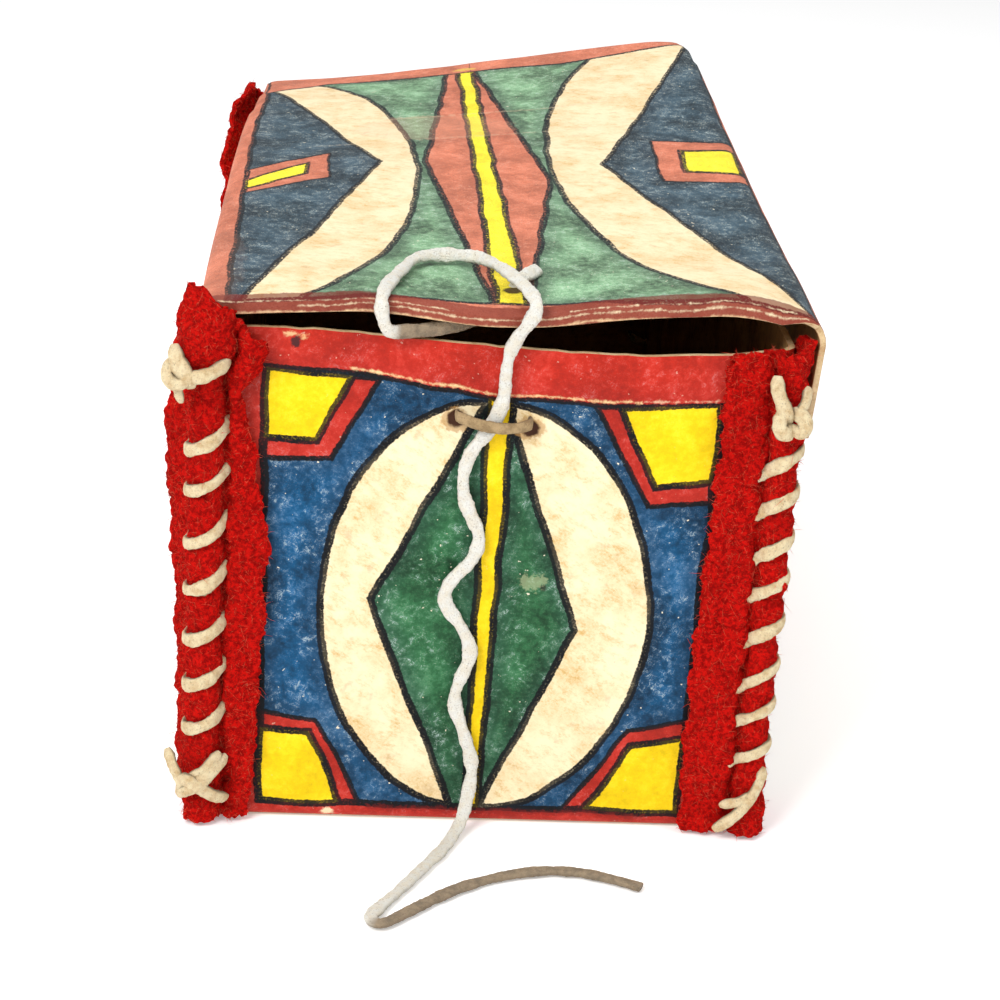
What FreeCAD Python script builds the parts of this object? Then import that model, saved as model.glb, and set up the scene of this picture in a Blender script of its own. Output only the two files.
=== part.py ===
import FreeCAD, Part
import math
import os

# A folded rawhide box with a hinged lid, cloth bound corners laced with hide thong, and a tie thong.
# Millimetres. X runs to the right, Y to the back, Z up; the origin is under the middle of the box.

Vec = FreeCAD.Vector
UP = Vec(0, 0, 1)
BACK = Vec(0, 1, 0)

# Rawhide body: one blank folded up from the bottom
hide_half_width = 97.5
hide_half_depth = 183.0
hide_thickness = 2.2
wall_top = 184.0
fold_radius = 4.0
front_sag = 5.0             # the front panel's top edge dips this much
front_sag_x = 38.0          # where it dips lowest
front_sag_half_span = 95.0

# Lid: the same hide carried on past the fold in the back wall, warped in drying
hinge_y = hide_half_depth - hide_thickness / 2
hinge_z = 186.0
lid_front_y = -186.0
flap_depth = 41.0
lid_bend_radius = 5.0
lip_bottom_left = 189.3
lip_bottom_right = 191.5
# y, left edge x, left top z, right edge x, right top z
lid_stations = [
    (lid_front_y, -103.5, 195.0, 107.4, 196.0),
    (-95.0, -103.5, 195.0, 107.4, 198.5),
    (0.0, -103.5, 195.0, 107.4, 204.0),
    (95.0, -102.8, 193.5, 107.0, 210.5),
    (hide_half_depth, -98.5, 189.0, 103.5, 221.0),
]
left_flap_span = (-163.0, 108.0)
right_flap_span = (lid_front_y, 150.0)
lid_hole = (2.5, -160.0)
lid_hole_radius = 2.4

# Red cloth strips round the four upright corners
cloth_thickness = 2.6
cloth_bottom = 0.6
cloth_top = 182.0
side_wing = 25.0
left_roll = {"wing": 16.5, "radius": 7.0, "out_x": 1.0, "out_y": 0.5,
             "lace_top": 149.0, "lace_pitch": 17.8, "lace_turns": 7, "knots": (170.0, 19.0)}
right_roll = {"wing": 23.5, "radius": 4.3, "out_x": -0.8, "out_y": 1.6,
              "lace_top": 146.0, "lace_pitch": 16.0, "lace_turns": 8, "knots": (163.0, 15.0)}
tongue = {"x": (-104.5, -83.0), "y": (-190.4, -187.6), "z": (170.0, 201.0)}

# Thong lacing through pierced holes along each corner
lace_radius = 1.4
lace_inset = 9.5            # holes this far from the corner
lace_drop_outside = 6.0
lace_end_gap = 6.0          # from the last stitch to the hole that the end comes out of
lace_knot_radius = 4.6

# Loop thong on the front panel
loop_radius = 1.4
loop_hole_radius = 1.8
loop_knot_radius = 3.2
loop_points = [
    (-15.0, -176.5, 156.0),
    (-15.0, -187.8, 156.0),
    (-4.0, -190.0, 151.8),
    (9.0, -187.8, 154.5),
    (9.0, -176.5, 154.5),
]

# Tie thong: its end lies on the lid, goes down the lid's hole, out under the lip, over the lid
# in a bight, and over the front edge again
tie_radius = 1.6
tie_upper_points = [
    (11.5, -145.0, 199.3), (7.5, -152.0, 199.3), (2.5, -159.5, 199.6), (2.5, -161.0, 189.0),
    (-4.0, -170.0, 187.2), (-14.0, -178.0, 186.4), (-26.0, -182.0, 186.2), (-35.5, -184.5, 186.0),
    (-41.0, -190.6, 185.8), (-42.0, -190.6, 199.0), (-41.0, -180.0, 199.6), (-38.0, -165.0, 199.2),
    (-34.0, -149.0, 199.2), (-28.5, -137.0, 199.4), (-21.0, -133.0, 199.6), (-10.5, -133.0, 200.4),
    (-4.5, -139.5, 202.2), (1.0, -149.5, 204.4), (5.8, -160.0, 204.4), (9.0, -172.5, 202.4),
    (8.5, -190.2, 199.6), (7.0, -190.9, 192.9),
]
# It hangs down the front behind the loop and ends loose on the surface the box stands on
tie_lower_points = [
    (7.0, -190.9, 191.8), (4.5, -188.6, 184.0), (0.5, -186.3, 174.5), (0.0, -185.6, 162.5),
    (-4.5, -185.5, 151.5), (-11.0, -185.5, 143.0), (-12.5, -185.8, 132.0), (-10.0, -185.6, 122.0),
    (-5.5, -185.6, 113.5), (-7.5, -185.8, 104.0), (-14.0, -186.0, 97.0), (-17.0, -185.8, 88.5),
    (-9.5, -185.6, 78.0), (-6.0, -185.8, 68.5), (-9.0, -186.0, 59.5), (-11.5, -185.8, 50.0),
    (-7.5, -185.8, 38.0), (-3.5, -186.1, 25.0), (-4.2, -186.7, 14.0), (-6.0, -189.6, 5.2),
    (-9.5, -197.0, 2.2), (-14.0, -207.5, 1.9), (-20.5, -219.0, 2.0), (-27.0, -231.0, 1.9),
    (-32.8, -240.8, 2.0), (-36.5, -247.0, 1.9), (-39.6, -253.0, 1.9), (-35.6, -258.2, 2.1),
    (-28.5, -250.2, 1.9), (-18.5, -240.2, 1.9), (-8.0, -231.0, 2.0), (5.0, -223.5, 1.9),
    (19.0, -218.6, 2.0), (32.0, -218.2, 1.9), (44.0, -222.2, 2.0), (54.5, -227.6, 1.9),
]


def box(x_range, y_range, z_range):
    corner = Vec(x_range[0], y_range[0], z_range[0])
    return Part.makeBox(x_range[1] - x_range[0], y_range[1] - y_range[0], z_range[1] - z_range[0], corner)


def fuse_all(shapes):
    return shapes[0].fuse(shapes[1:]).removeSplitter()


def rounded_path(points):
    """Straight runs joined by tangent arcs, with each arc as large as its two runs allow."""
    pts = [Vec(*p) for p in points]
    edges = []
    radii = []
    start = pts[0]
    for before, corner, after in zip(pts, pts[1:], pts[2:]):
        back = (before - corner).normalize()
        ahead = (after - corner).normalize()
        cut = 0.45 * min((before - corner).Length, (after - corner).Length)
        half_turn = (math.pi - back.getAngle(ahead)) / 2
        radii.append(cut / math.tan(half_turn))
        arc_start = corner + back * cut
        arc_end = corner + ahead * cut
        bisector = (back + ahead).normalize()
        middle = corner + bisector * (radii[-1] / math.cos(half_turn) - radii[-1])
        edges.append(Part.LineSegment(start, arc_start).toShape())
        edges.append(Part.Arc(arc_start, middle, arc_end).toShape())
        start = arc_end
    edges.append(Part.LineSegment(start, pts[-1]).toShape())
    return Part.Wire(edges), radii


def thong_tube(name, points, radius):
    path, radii = rounded_path(points)
    first, second = Vec(*points[0]), Vec(*points[1])
    profile = Part.Wire([Part.Circle(first, (second - first).normalize(), radius).toShape()])
    tube = path.makePipeShell([profile], True, False)
    ideal = math.pi * radius**2 * path.Length
    print(f"{name}: length {path.Length:.0f}, arc radii {min(radii):.1f} to {max(radii):.1f}, "
          f"volume {tube.Volume / ideal:.3f} of section times length")
    return tube


def hide_body():
    outer = box((-hide_half_width, hide_half_width), (-hide_half_depth, hide_half_depth), (0, wall_top))
    folds = [e for e in outer.Edges if e.BoundBox.ZMax < 1 or e.BoundBox.ZLength > 1]
    outer = outer.makeFillet(fold_radius, folds)
    inner_width = hide_half_width - hide_thickness
    inner_depth = hide_half_depth - hide_thickness
    inner = box((-inner_width, inner_width), (-inner_depth, inner_depth), (hide_thickness, wall_top + 10))
    corners = [e for e in inner.Edges if e.BoundBox.ZMax < hide_thickness + 1 or e.BoundBox.ZLength > 1]
    inner = inner.makeFillet(fold_radius - hide_thickness, corners)
    body = outer.cut(inner)
    sag_radius = (front_sag_half_span**2 + front_sag**2) / (2 * front_sag)
    sag_centre = Vec(front_sag_x, -hide_half_depth - 1, wall_top - front_sag + sag_radius)
    body = body.cut(Part.makeCylinder(sag_radius, hide_thickness + 2, sag_centre, BACK))
    for x, _, z in (loop_points[1], loop_points[3]):
        hole = Part.makeCylinder(loop_hole_radius, hide_thickness + 2, Vec(x, -hide_half_depth - 1, z), BACK)
        body = body.cut(hole)
    return body


def lid_section(y, left_x, left_z, right_x, right_z):
    """One cross-section of the lid: a plate with a flap bent down on each side."""
    bend = lid_bend_radius
    inside = bend - hide_thickness
    diagonal = math.sqrt(0.5)
    slope = (right_z - left_z) / (right_x - left_x)
    centre_left = Vec(left_x + bend, y, left_z + slope * bend - bend)
    centre_right = Vec(right_x - bend, y, right_z - slope * bend - bend)

    def corner(centre, side, radius):
        low = centre + Vec(side * radius, 0, 0)
        middle = centre + Vec(side * radius * diagonal, 0, radius * diagonal)
        high = centre + Vec(0, 0, radius)
        return low, middle, high

    outer_left = corner(centre_left, -1, bend)
    outer_right = corner(centre_right, 1, bend)
    inner_left = corner(centre_left, -1, inside)
    inner_right = corner(centre_right, 1, inside)
    left_foot = left_z - flap_depth
    right_foot = right_z - flap_depth
    feet = [Vec(left_x, y, left_foot), Vec(left_x + hide_thickness, y, left_foot),
            Vec(right_x - hide_thickness, y, right_foot), Vec(right_x, y, right_foot)]
    edges = [
        Part.LineSegment(feet[0], outer_left[0]), Part.Arc(*outer_left),
        Part.LineSegment(outer_left[2], outer_right[2]), Part.Arc(*reversed(outer_right)),
        Part.LineSegment(outer_right[0], feet[3]), Part.LineSegment(feet[3], feet[2]),
        Part.LineSegment(feet[2], inner_right[0]), Part.Arc(*inner_right),
        Part.LineSegment(inner_right[2], inner_left[2]), Part.Arc(*reversed(inner_left)),
        Part.LineSegment(inner_left[0], feet[1]), Part.LineSegment(feet[1], feet[0]),
    ]
    return Part.Wire([e.toShape() for e in edges])


def upright_strip(corners, y, thickness):
    """A flat strip standing in the XZ plane, from its corners (x, z)."""
    points = [Vec(x, y, z) for x, z in corners]
    face = Part.Face(Part.makePolygon(points + points[:1]))
    return face.extrude(Vec(0, thickness, 0))


def hide_lid():
    sections = [lid_section(*station) for station in lid_stations]
    plate = Part.makeLoft(sections, True, True)
    trims = [
        box((-120, -90), (left_flap_span[1], 200), (100, 185.6)),
        box((-120, -90), (-200, left_flap_span[0]), (100, 188.0)),
        box((90, 120), (right_flap_span[1], 200), (100, 207.0)),
    ]
    for trim in trims:
        plate = plate.cut(trim)
    _, left_x, left_z, right_x, right_z = lid_stations[0]
    lip = upright_strip(
        [(left_x + 6, lip_bottom_left), (right_x - 1, lip_bottom_right),
         (right_x - 1, right_z - 3.0), (left_x + 6, left_z - 1.0)], lid_front_y, hide_thickness)
    _, left_x, left_z, right_x, right_z = lid_stations[-1]
    curtain = upright_strip(
        [(left_x + 1, hinge_z), (right_x - 1, hinge_z), (right_x - 1, right_z - 3.0),
         (left_x + 1, left_z - 1.0)], hide_half_depth - hide_thickness, hide_thickness)
    fold = Part.makeCylinder(hide_thickness / 2, right_x - left_x - 2, Vec(left_x + 1, hinge_y, hinge_z),
                             Vec(1, 0, 0))
    lid = fuse_all([plate, lip, curtain, fold])
    return lid.cut(Part.makeCylinder(lid_hole_radius, 40, Vec(*lid_hole, 170), UP))


def corner_cloth(side_x, side_y):
    """A strip folded round one upright corner: a roll over the corner and a wing on each wall."""
    roll = left_roll if side_x < 0 else right_roll
    wing_x = sorted((side_x * (hide_half_width - roll["wing"]), side_x * hide_half_width))
    wing_y = sorted((side_y * (hide_half_depth - side_wing), side_y * hide_half_depth))
    face_x = sorted((side_x * (hide_half_width - 1), side_x * (hide_half_width + cloth_thickness)))
    face_y = sorted((side_y * (hide_half_depth - 1), side_y * (hide_half_depth + cloth_thickness)))
    z_range = (cloth_bottom, cloth_top)
    centre = Vec(side_x * (hide_half_width + roll["out_x"]),
                 side_y * (hide_half_depth + roll["out_y"]), cloth_bottom)
    pieces = [
        box(wing_x, face_y, z_range),
        box(face_x, wing_y, z_range),
        Part.makeCylinder(roll["radius"], cloth_top - cloth_bottom, centre, UP),
    ]
    if side_x < 0 and side_y < 0:
        pieces.append(box(tongue["x"], tongue["y"], tongue["z"]))
    cloth = fuse_all(pieces)
    body = box((-hide_half_width, hide_half_width), (-hide_half_depth, hide_half_depth), (-1, 300))
    body = body.makeFillet(fold_radius, [e for e in body.Edges if e.BoundBox.ZLength > 1])
    return cloth.cut(body)


def lace_points(side_x, side_y):
    """Whip stitches: round the corner outside, in through one wall, and down inside to the next."""
    roll = left_roll if side_x < 0 else right_roll
    across = side_x * (hide_half_width - lace_inset)
    along = side_y * (hide_half_depth - lace_inset)
    proud = cloth_thickness + lace_radius + 0.3
    out_x = side_x * (hide_half_width + roll["out_x"] + roll["radius"] + lace_radius)
    out_y = side_y * (hide_half_depth + roll["out_y"] + roll["radius"] + lace_radius)
    side_face = side_x * (hide_half_width + proud)
    end_face = side_y * (hide_half_depth + proud)
    inside_x = side_x * (hide_half_width - hide_thickness - lace_radius - 1)
    inside_y = side_y * (hide_half_depth - hide_thickness - lace_radius - 1)
    points = []
    for turn in range(roll["lace_turns"]):
        top = roll["lace_top"] - turn * roll["lace_pitch"]
        low = top - lace_drop_outside
        middle = (top + low) / 2
        stitch = [
            (across, inside_y, top), (across, end_face, top),
            (side_x * (hide_half_width - 1), out_y, middle + 1),
            (out_x, side_y * (hide_half_depth - 1), middle - 1),
            (side_face, along, low), (inside_x, along, low),
        ]
        if side_x > 0:      # on the right the stitch runs from the side wall down to the front
            stitch = [(x, y, top + low - z) for x, y, z in reversed(stitch)]
        points += stitch
    knot_x = side_x * (hide_half_width - 4.5)
    knot_y = side_y * (hide_half_depth + proud + 1.0)
    high_knot, low_knot = ((knot_x, knot_y, z) for z in roll["knots"])
    if side_x > 0:          # the end with the knot comes out of a hole of its own, higher up
        first_hole = roll["lace_top"] + 9.0
        start = [high_knot, (across, end_face, first_hole), (across, inside_y, first_hole)]
        return start + points[:-1] + [low_knot]
    last_hole = points[-1][2] - lace_end_gap
    end = [(across, inside_y, last_hole), (across, end_face, last_hole), low_knot]
    return [high_knot] + points[1:] + end


def lacing(name, side_x, side_y):
    points = lace_points(side_x, side_y)
    tube = thong_tube(name, points, lace_radius)
    knots = [Part.makeSphere(lace_knot_radius, Vec(*p)) for p in (points[0], points[-1])]
    return fuse_all([tube] + knots)


def loop_thong():
    tube = thong_tube("loop_thong", loop_points, loop_radius)
    knots = [Part.makeSphere(loop_knot_radius, Vec(*p)) for p in (loop_points[0], loop_points[-1])]
    return fuse_all([tube] + knots)


def save(name, shape):
    solids = len(shape.Solids)
    bounds = shape.optimalBoundingBox(False)
    print(f"{name}: {solids} solid, valid {shape.isValid()}, x {bounds.XMin:.1f} {bounds.XMax:.1f}, "
          f"y {bounds.YMin:.1f} {bounds.YMax:.1f}, z {bounds.ZMin:.1f} {bounds.ZMax:.1f}")
    shape.exportStep(f"parts/{name}.step")


os.makedirs("parts", exist_ok=True)
save("hide_body", hide_body())
save("hide_lid", hide_lid())
for side_y, end in ((-1, "front"), (1, "back")):
    for side_x, side in ((-1, "left"), (1, "right")):
        save(f"cloth_{end}_{side}", corner_cloth(side_x, side_y))
        save(f"lacing_{end}_{side}", lacing(f"lacing_{end}_{side}", side_x, side_y))
save("loop_thong", loop_thong())
save("tie_thong_upper", thong_tube("tie_thong_upper", tie_upper_points, tie_radius))
save("tie_thong_lower", thong_tube("tie_thong_lower", tie_lower_points, tie_radius))
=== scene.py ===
import math
import random

import bpy
import numpy as np
from mathutils import Matrix, Vector, noise


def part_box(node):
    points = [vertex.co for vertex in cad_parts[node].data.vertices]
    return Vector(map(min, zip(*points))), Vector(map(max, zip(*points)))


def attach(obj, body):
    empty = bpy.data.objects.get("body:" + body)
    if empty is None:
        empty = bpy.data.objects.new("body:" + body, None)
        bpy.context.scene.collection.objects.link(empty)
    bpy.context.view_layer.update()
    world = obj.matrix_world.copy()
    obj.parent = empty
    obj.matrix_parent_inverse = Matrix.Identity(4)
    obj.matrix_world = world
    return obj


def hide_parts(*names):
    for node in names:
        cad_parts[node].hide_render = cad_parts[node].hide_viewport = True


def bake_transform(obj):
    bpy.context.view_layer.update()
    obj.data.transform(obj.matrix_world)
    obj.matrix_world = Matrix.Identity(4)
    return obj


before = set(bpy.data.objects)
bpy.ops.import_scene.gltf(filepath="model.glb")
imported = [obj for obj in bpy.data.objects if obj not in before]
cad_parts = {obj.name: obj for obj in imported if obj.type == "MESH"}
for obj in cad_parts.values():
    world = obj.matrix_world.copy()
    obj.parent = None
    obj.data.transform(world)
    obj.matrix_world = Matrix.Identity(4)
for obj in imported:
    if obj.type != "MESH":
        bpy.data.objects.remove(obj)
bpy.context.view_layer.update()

mm = 0.001
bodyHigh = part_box("hide_body")[1]
halfWidth = bodyHigh[0]
halfDepth = bodyHigh[1]
hideThick = 0.0022

up = Vector((0, 0, 1))
front = Vector((0, -1, 0))
back = Vector((0, 1, 0))
left = Vector((-1, 0, 0))
lean = Vector((0, -0.8, 0.6))     # a strip standing half on its edge


# camera
cameraSet = {"place": (-0.0518, -0.928, 0.4221), "yaw": 4.04, "pitch": 21.64, "roll": 3.61, "lens": 84.56}


def addCamera(settings):
    yaw = math.radians(settings["yaw"])
    pitch = math.radians(settings["pitch"])
    roll = math.radians(settings["roll"])
    forward = Vector((math.sin(yaw) * math.cos(pitch), math.cos(yaw) * math.cos(pitch), -math.sin(pitch)))
    level = Vector((math.cos(yaw), -math.sin(yaw), 0))
    above = level.cross(forward)
    right = level * math.cos(roll) + above * math.sin(roll)
    top = above * math.cos(roll) - level * math.sin(roll)
    data = bpy.data.cameras.new("camera")
    data.lens = settings["lens"]
    data.sensor_width = 36
    data.clip_end = 50
    camera = bpy.data.objects.new("camera", data)
    bpy.context.collection.objects.link(camera)
    turn = Matrix((right, top, -forward)).transposed().to_4x4()
    camera.matrix_world = Matrix.Translation(settings["place"]) @ turn
    bpy.context.scene.camera = camera


addCamera(cameraSet)
print("camera placed")


# helpers for pieces
def deselectAll():
    if bpy.context.object and bpy.context.object.mode != "OBJECT":
        toMode("OBJECT")
    bpy.ops.object.select_all(action="DESELECT")


def makeActive(piece):
    deselectAll()
    piece.select_set(True)
    bpy.context.view_layer.objects.active = piece


def toMode(mode):
    bpy.ops.object.mode_set(mode=mode)


def clearMeshSelection():
    toMode("EDIT")
    bpy.ops.mesh.select_all(action="DESELECT")
    toMode("OBJECT")


def newPiece(name, points, faces):
    data = bpy.data.meshes.new(name)
    data.from_pydata(points, [], faces)
    data.update()
    piece = bpy.data.objects.new(name, data)
    bpy.context.collection.objects.link(piece)
    return piece


def blankMap(piece):
    layers = piece.data.uv_layers
    uv = layers[0] if layers else layers.new()
    uv.name = "blank"
    return uv


def addSuede(piece, values=None):
    layer = piece.data.attributes.new("suede", "FLOAT", "POINT")
    if values is not None:
        layer.data.foreach_set("value", values)


def applyModifier(piece, kind, **settings):
    makeActive(piece)
    modifier = piece.modifiers.new(kind.lower(), kind)
    for name, value in settings.items():
        setattr(modifier, name, value)
    bpy.ops.object.modifier_apply(modifier=modifier.name)


def vertexArray(piece):
    flat = np.empty(len(piece.data.vertices) * 3)
    piece.data.vertices.foreach_get("co", flat)
    return flat.reshape(-1, 3)


def setVertices(piece, points):
    piece.data.vertices.foreach_set("co", np.asarray(points, float).reshape(-1))
    piece.data.update()


def outwardNormals(piece):
    makeActive(piece)
    toMode("EDIT")
    bpy.ops.mesh.select_all(action="SELECT")
    bpy.ops.mesh.remove_doubles(threshold=1e-6)
    bpy.ops.mesh.normals_make_consistent(inside=False)
    toMode("OBJECT")


def shadeSmooth(piece, degrees=40):
    makeActive(piece)
    bpy.ops.object.shade_smooth_by_angle(angle=math.radians(degrees))


def joinPieces(pieces, name):
    makeActive(pieces[0])
    for piece in pieces[1:]:
        piece.select_set(True)
    if len(pieces) > 1:
        bpy.ops.object.join()
    pieces[0].name = name
    pieces[0].data.name = name
    return pieces[0]


def lengthsAlong(line):
    return np.concatenate([[0], np.cumsum(np.linalg.norm(np.diff(line, axis=0), axis=1))])


def roam(x, y, z):
    return noise.noise(Vector((x, y, z)))


def along(curve, at):
    return np.interp(at, [k[0] for k in curve], [k[1] for k in curve])


def noiseAt(x, y, z, scale, seed=0.0):
    return noise.noise(Vector((x / scale + seed, y / scale - seed, z / scale + 2 * seed)))


# helpers for thongs
def routePoints(points, name="route", steps=10):
    curve = bpy.data.curves.new(name, "CURVE")
    curve.dimensions = "3D"
    curve.resolution_u = steps
    spline = curve.splines.new("NURBS")
    spline.points.add(len(points) - 1)
    for point, place in zip(spline.points, points):
        point.co = (*place, 1.0)
    spline.order_u = 3          # set after the points, or it stays at straight runs
    spline.use_endpoint_u = True
    holder = bpy.data.objects.new(name, curve)
    bpy.context.collection.objects.link(holder)
    line = bpy.data.meshes.new_from_object(holder)
    found = np.array([v.co[:] for v in line.vertices])
    bpy.data.objects.remove(holder)
    bpy.data.curves.remove(curve)
    bpy.data.meshes.remove(line)
    return found


def thongRings(route, steps=10):
    places = [Vector(point) for point, facing in route]
    lifted = [Vector(point) + Vector(facing).normalized() * 0.002 for point, facing in route]
    line = routePoints(places, "line", steps)
    side = routePoints(lifted, "side", steps)
    keep = [0]
    for i in range(1, len(line)):
        if np.linalg.norm(line[i] - line[keep[-1]]) > 0.0002:
            keep.append(i)
    return line[keep], (side - line)[keep]


def sweepThong(name, line, facing, width, thick, seed=1, sides=12, rough=0.06, taper=0.0):
    count = len(line)
    tangents = np.gradient(line, axis=0)
    rings = []
    length = lengthsAlong(line)
    for i in range(count):
        t = Vector(tangents[i]).normalized()
        n = Vector(facing[i])
        n = (n - t * n.dot(t)).normalized()
        s = t.cross(n)
        swell = 1 + rough * 2 * roam(length[i] * 180, seed * 7.1, 0)
        lean = rough * 3 * roam(length[i] * 90, 0, seed * 3.3)
        end = min(length[i], length[-1] - length[i])
        shrink = 1 - taper * max(0, 1 - end / (width * 0.8)) ** 2
        ring = []
        for k in range(sides):
            a = 2 * math.pi * k / sides + lean
            across = math.copysign(abs(math.cos(a)) ** 0.75, math.cos(a)) * width / 2 * swell * shrink
            out = math.copysign(abs(math.sin(a)) ** 0.85, math.sin(a)) * thick / 2 * shrink
            nap = 1 + rough * roam(length[i] * 900, k * 1.7, seed)
            ring.append(Vector(line[i]) + (s * across + n * out) * nap)
        rings.append(ring)
    points = [p[:] for ring in rings for p in ring]
    faces = []
    places = []
    for i in range(count - 1):
        for k in range(sides):
            m = (k + 1) % sides
            faces.append((i * sides + k, i * sides + m, (i + 1) * sides + m, (i + 1) * sides + k))
            low, high = k / sides, (k + 1) / sides
            places += [(length[i], low), (length[i], high), (length[i + 1], high), (length[i + 1], low)]
    faces.append(tuple(range(sides - 1, -1, -1)))
    places += [(0, k / sides) for k in range(sides - 1, -1, -1)]
    last = (count - 1) * sides
    faces.append(tuple(range(last, last + sides)))
    places += [(length[-1], k / sides) for k in range(sides)]
    piece = newPiece(name, points, faces)
    piece.data.uv_layers.new(name="along").data.foreach_set("uv", np.array(places, float).reshape(-1))
    outwardNormals(piece)
    shadeSmooth(piece, 50)
    return piece


# helpers for materials
def paintColour(red, green, blue):
    def linear(value):
        value /= 255
        return value / 12.92 if value <= 0.04045 else ((value + 0.055) / 1.055) ** 2.4
    return (linear(red), linear(green), linear(blue), 1.0)


def addNode(tree, kind, inputs=None, **settings):
    made = tree.nodes.new(kind)
    for name, value in settings.items():
        setattr(made, name, value)
    for key, value in (inputs or {}).items():
        if isinstance(value, bpy.types.NodeSocket):
            tree.links.new(value, made.inputs[key])
        else:
            made.inputs[key].default_value = value
    return made


def calc(tree, operation, a, b=0.0, c=0.0, clamp=False):
    values = {0: a, 1: b}
    if operation in ("MULTIPLY_ADD", "SMOOTH_MIN", "SMOOTH_MAX", "COMPARE"):
        values[2] = c
    return addNode(tree, "ShaderNodeMath", values, operation=operation, use_clamp=clamp).outputs[0]


def times(tree, a, b, clamp=False):
    return calc(tree, "MULTIPLY", a, b, clamp=clamp)


def plus(tree, a, b):
    return calc(tree, "ADD", a, b)


def minus(tree, a, b):
    return calc(tree, "SUBTRACT", a, b)


def vectorCalc(tree, operation, a, b=(0, 0, 0), read="Vector"):
    return addNode(tree, "ShaderNodeVectorMath", {0: a, 1: b}, operation=operation).outputs[read]


def turnedFlat(tree, point, angle):
    inputs = {"Vector": point, "Axis": (0, 0, 1), "Angle": angle}
    return addNode(tree, "ShaderNodeVectorRotate", inputs).outputs[0]


def spread(tree, value, low, high, outLow=0.0, outHigh=1.0):
    inputs = {0: value, 1: low, 2: high, 3: outLow, 4: outHigh}
    return addNode(tree, "ShaderNodeMapRange", inputs, interpolation_type="SMOOTHSTEP").outputs[0]


def mixColour(tree, factor, first, second, blend="MIX"):
    made = addNode(tree, "ShaderNodeMix", {0: factor, 6: first, 7: second}, data_type="RGBA",
                   blend_type=blend)
    return made.outputs[2]


def mixValue(tree, factor, first, second):
    return addNode(tree, "ShaderNodeMix", {0: factor, 2: first, 3: second}, data_type="FLOAT").outputs[0]


def tinted(tree, colour, value, low, high, amount, tint):
    # the tint comes in as the value goes from low to high
    return mixColour(tree, spread(tree, value, low, high, 0.0, amount), colour, paintColour(*tint))


def cloudy(tree, vector, scale, detail=3.0, rough=0.55, read="Fac"):
    inputs = {"Vector": vector, "Scale": scale, "Detail": detail, "Roughness": rough}
    return addNode(tree, "ShaderNodeTexNoise", inputs).outputs[read]


def newGroup(name, inputs, outputs):
    tree = bpy.data.node_groups.new(name, "ShaderNodeTree")
    kinds = {"v": "NodeSocketVector", "c": "NodeSocketColor", "f": "NodeSocketFloat"}
    for key, kind in inputs.items():
        tree.interface.new_socket(key, in_out="INPUT", socket_type=kinds[kind])
    for key, kind in outputs.items():
        tree.interface.new_socket(key, in_out="OUTPUT", socket_type=kinds[kind])
    return tree, addNode(tree, "NodeGroupInput").outputs, addNode(tree, "NodeGroupOutput").inputs


def useGroup(tree, group, inputs):
    made = tree.nodes.new("ShaderNodeGroup")
    made.node_tree = group
    for key, value in inputs.items():
        if isinstance(value, bpy.types.NodeSocket):
            tree.links.new(value, made.inputs[key])
        else:
            made.inputs[key].default_value = value
    return made.outputs


def feed(tree, outputs, values):
    for key, value in values.items():
        tree.links.new(value, outputs[key])


def insidePolygon(tree, point, corners):
    # distance in mm to a convex outline, negative inside; point carries (x, y, 1)
    area = sum(a[0] * b[1] - b[0] * a[1] for a, b in zip(corners, corners[1:] + corners[:1]))
    turn = 1 if area > 0 else -1
    result = None
    for a, b in zip(corners, corners[1:] + corners[:1]):
        dx, dy = b[0] - a[0], b[1] - a[1]
        size = math.hypot(dx, dy)
        nx, ny = turn * dy / size, -turn * dx / size
        line = vectorCalc(tree, "DOT_PRODUCT", point, (nx, ny, -(nx * a[0] + ny * a[1])), "Value")
        result = line if result is None else calc(tree, "MAXIMUM", result, line)
    return result


def insideShape(tree, point, shape):
    if isinstance(shape, dict):
        return insideEllipse(tree, point, shape["centre"], shape["radii"])
    if isinstance(shape[0], list):              # several convex outlines make one shape
        result = insidePolygon(tree, point, shape[0])
        for corners in shape[1:]:
            result = calc(tree, "MINIMUM", result, insidePolygon(tree, point, corners))
        return result
    return insidePolygon(tree, point, shape)


def insideEllipse(tree, point, centre, radii):
    # near the outline this is the distance in mm, negative inside
    shifted = vectorCalc(tree, "SUBTRACT", point, (centre[0], centre[1], 1))
    scaled = vectorCalc(tree, "MULTIPLY", shifted, (1 / radii[0], 1 / radii[1], 0))
    steep = vectorCalc(tree, "MULTIPLY", scaled, (1 / radii[0], 1 / radii[1], 0))
    reach = vectorCalc(tree, "LENGTH", scaled, read="Value")
    slope = vectorCalc(tree, "LENGTH", steep, read="Value")
    slope = calc(tree, "MAXIMUM", slope, 0.002)
    return calc(tree, "DIVIDE", times(tree, minus(tree, reach, 1.0), reach), slope)


def filled(tree, distance, soft=0.3):
    return spread(tree, distance, -soft, soft, 1.0, 0.0)


# shared effects
def handGroup():
    # panel coordinates in metres become wavering millimetres, as a hand would paint
    tree, given, out = newGroup("handWobble", {"Place": "v"}, {"Point": "v"})
    millimetres = vectorCalc(tree, "MULTIPLY", given["Place"], (1000, 1000, 0))
    moved = millimetres
    for scale, detail, far in ((0.045, 1.0, 3.4), (0.45, 2.0, 0.75)):      # a slow sway, then a quick one
        sway = cloudy(tree, millimetres, scale, detail, read="Color")
        sway = vectorCalc(tree, "SUBTRACT", sway, (0.5, 0.5, 0.5))
        moved = vectorCalc(tree, "ADD", moved, vectorCalc(tree, "MULTIPLY", sway, (far, far, 0)))
    feed(tree, out, {"Point": vectorCalc(tree, "ADD", moved, (0, 0, 1))})
    return tree


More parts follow.
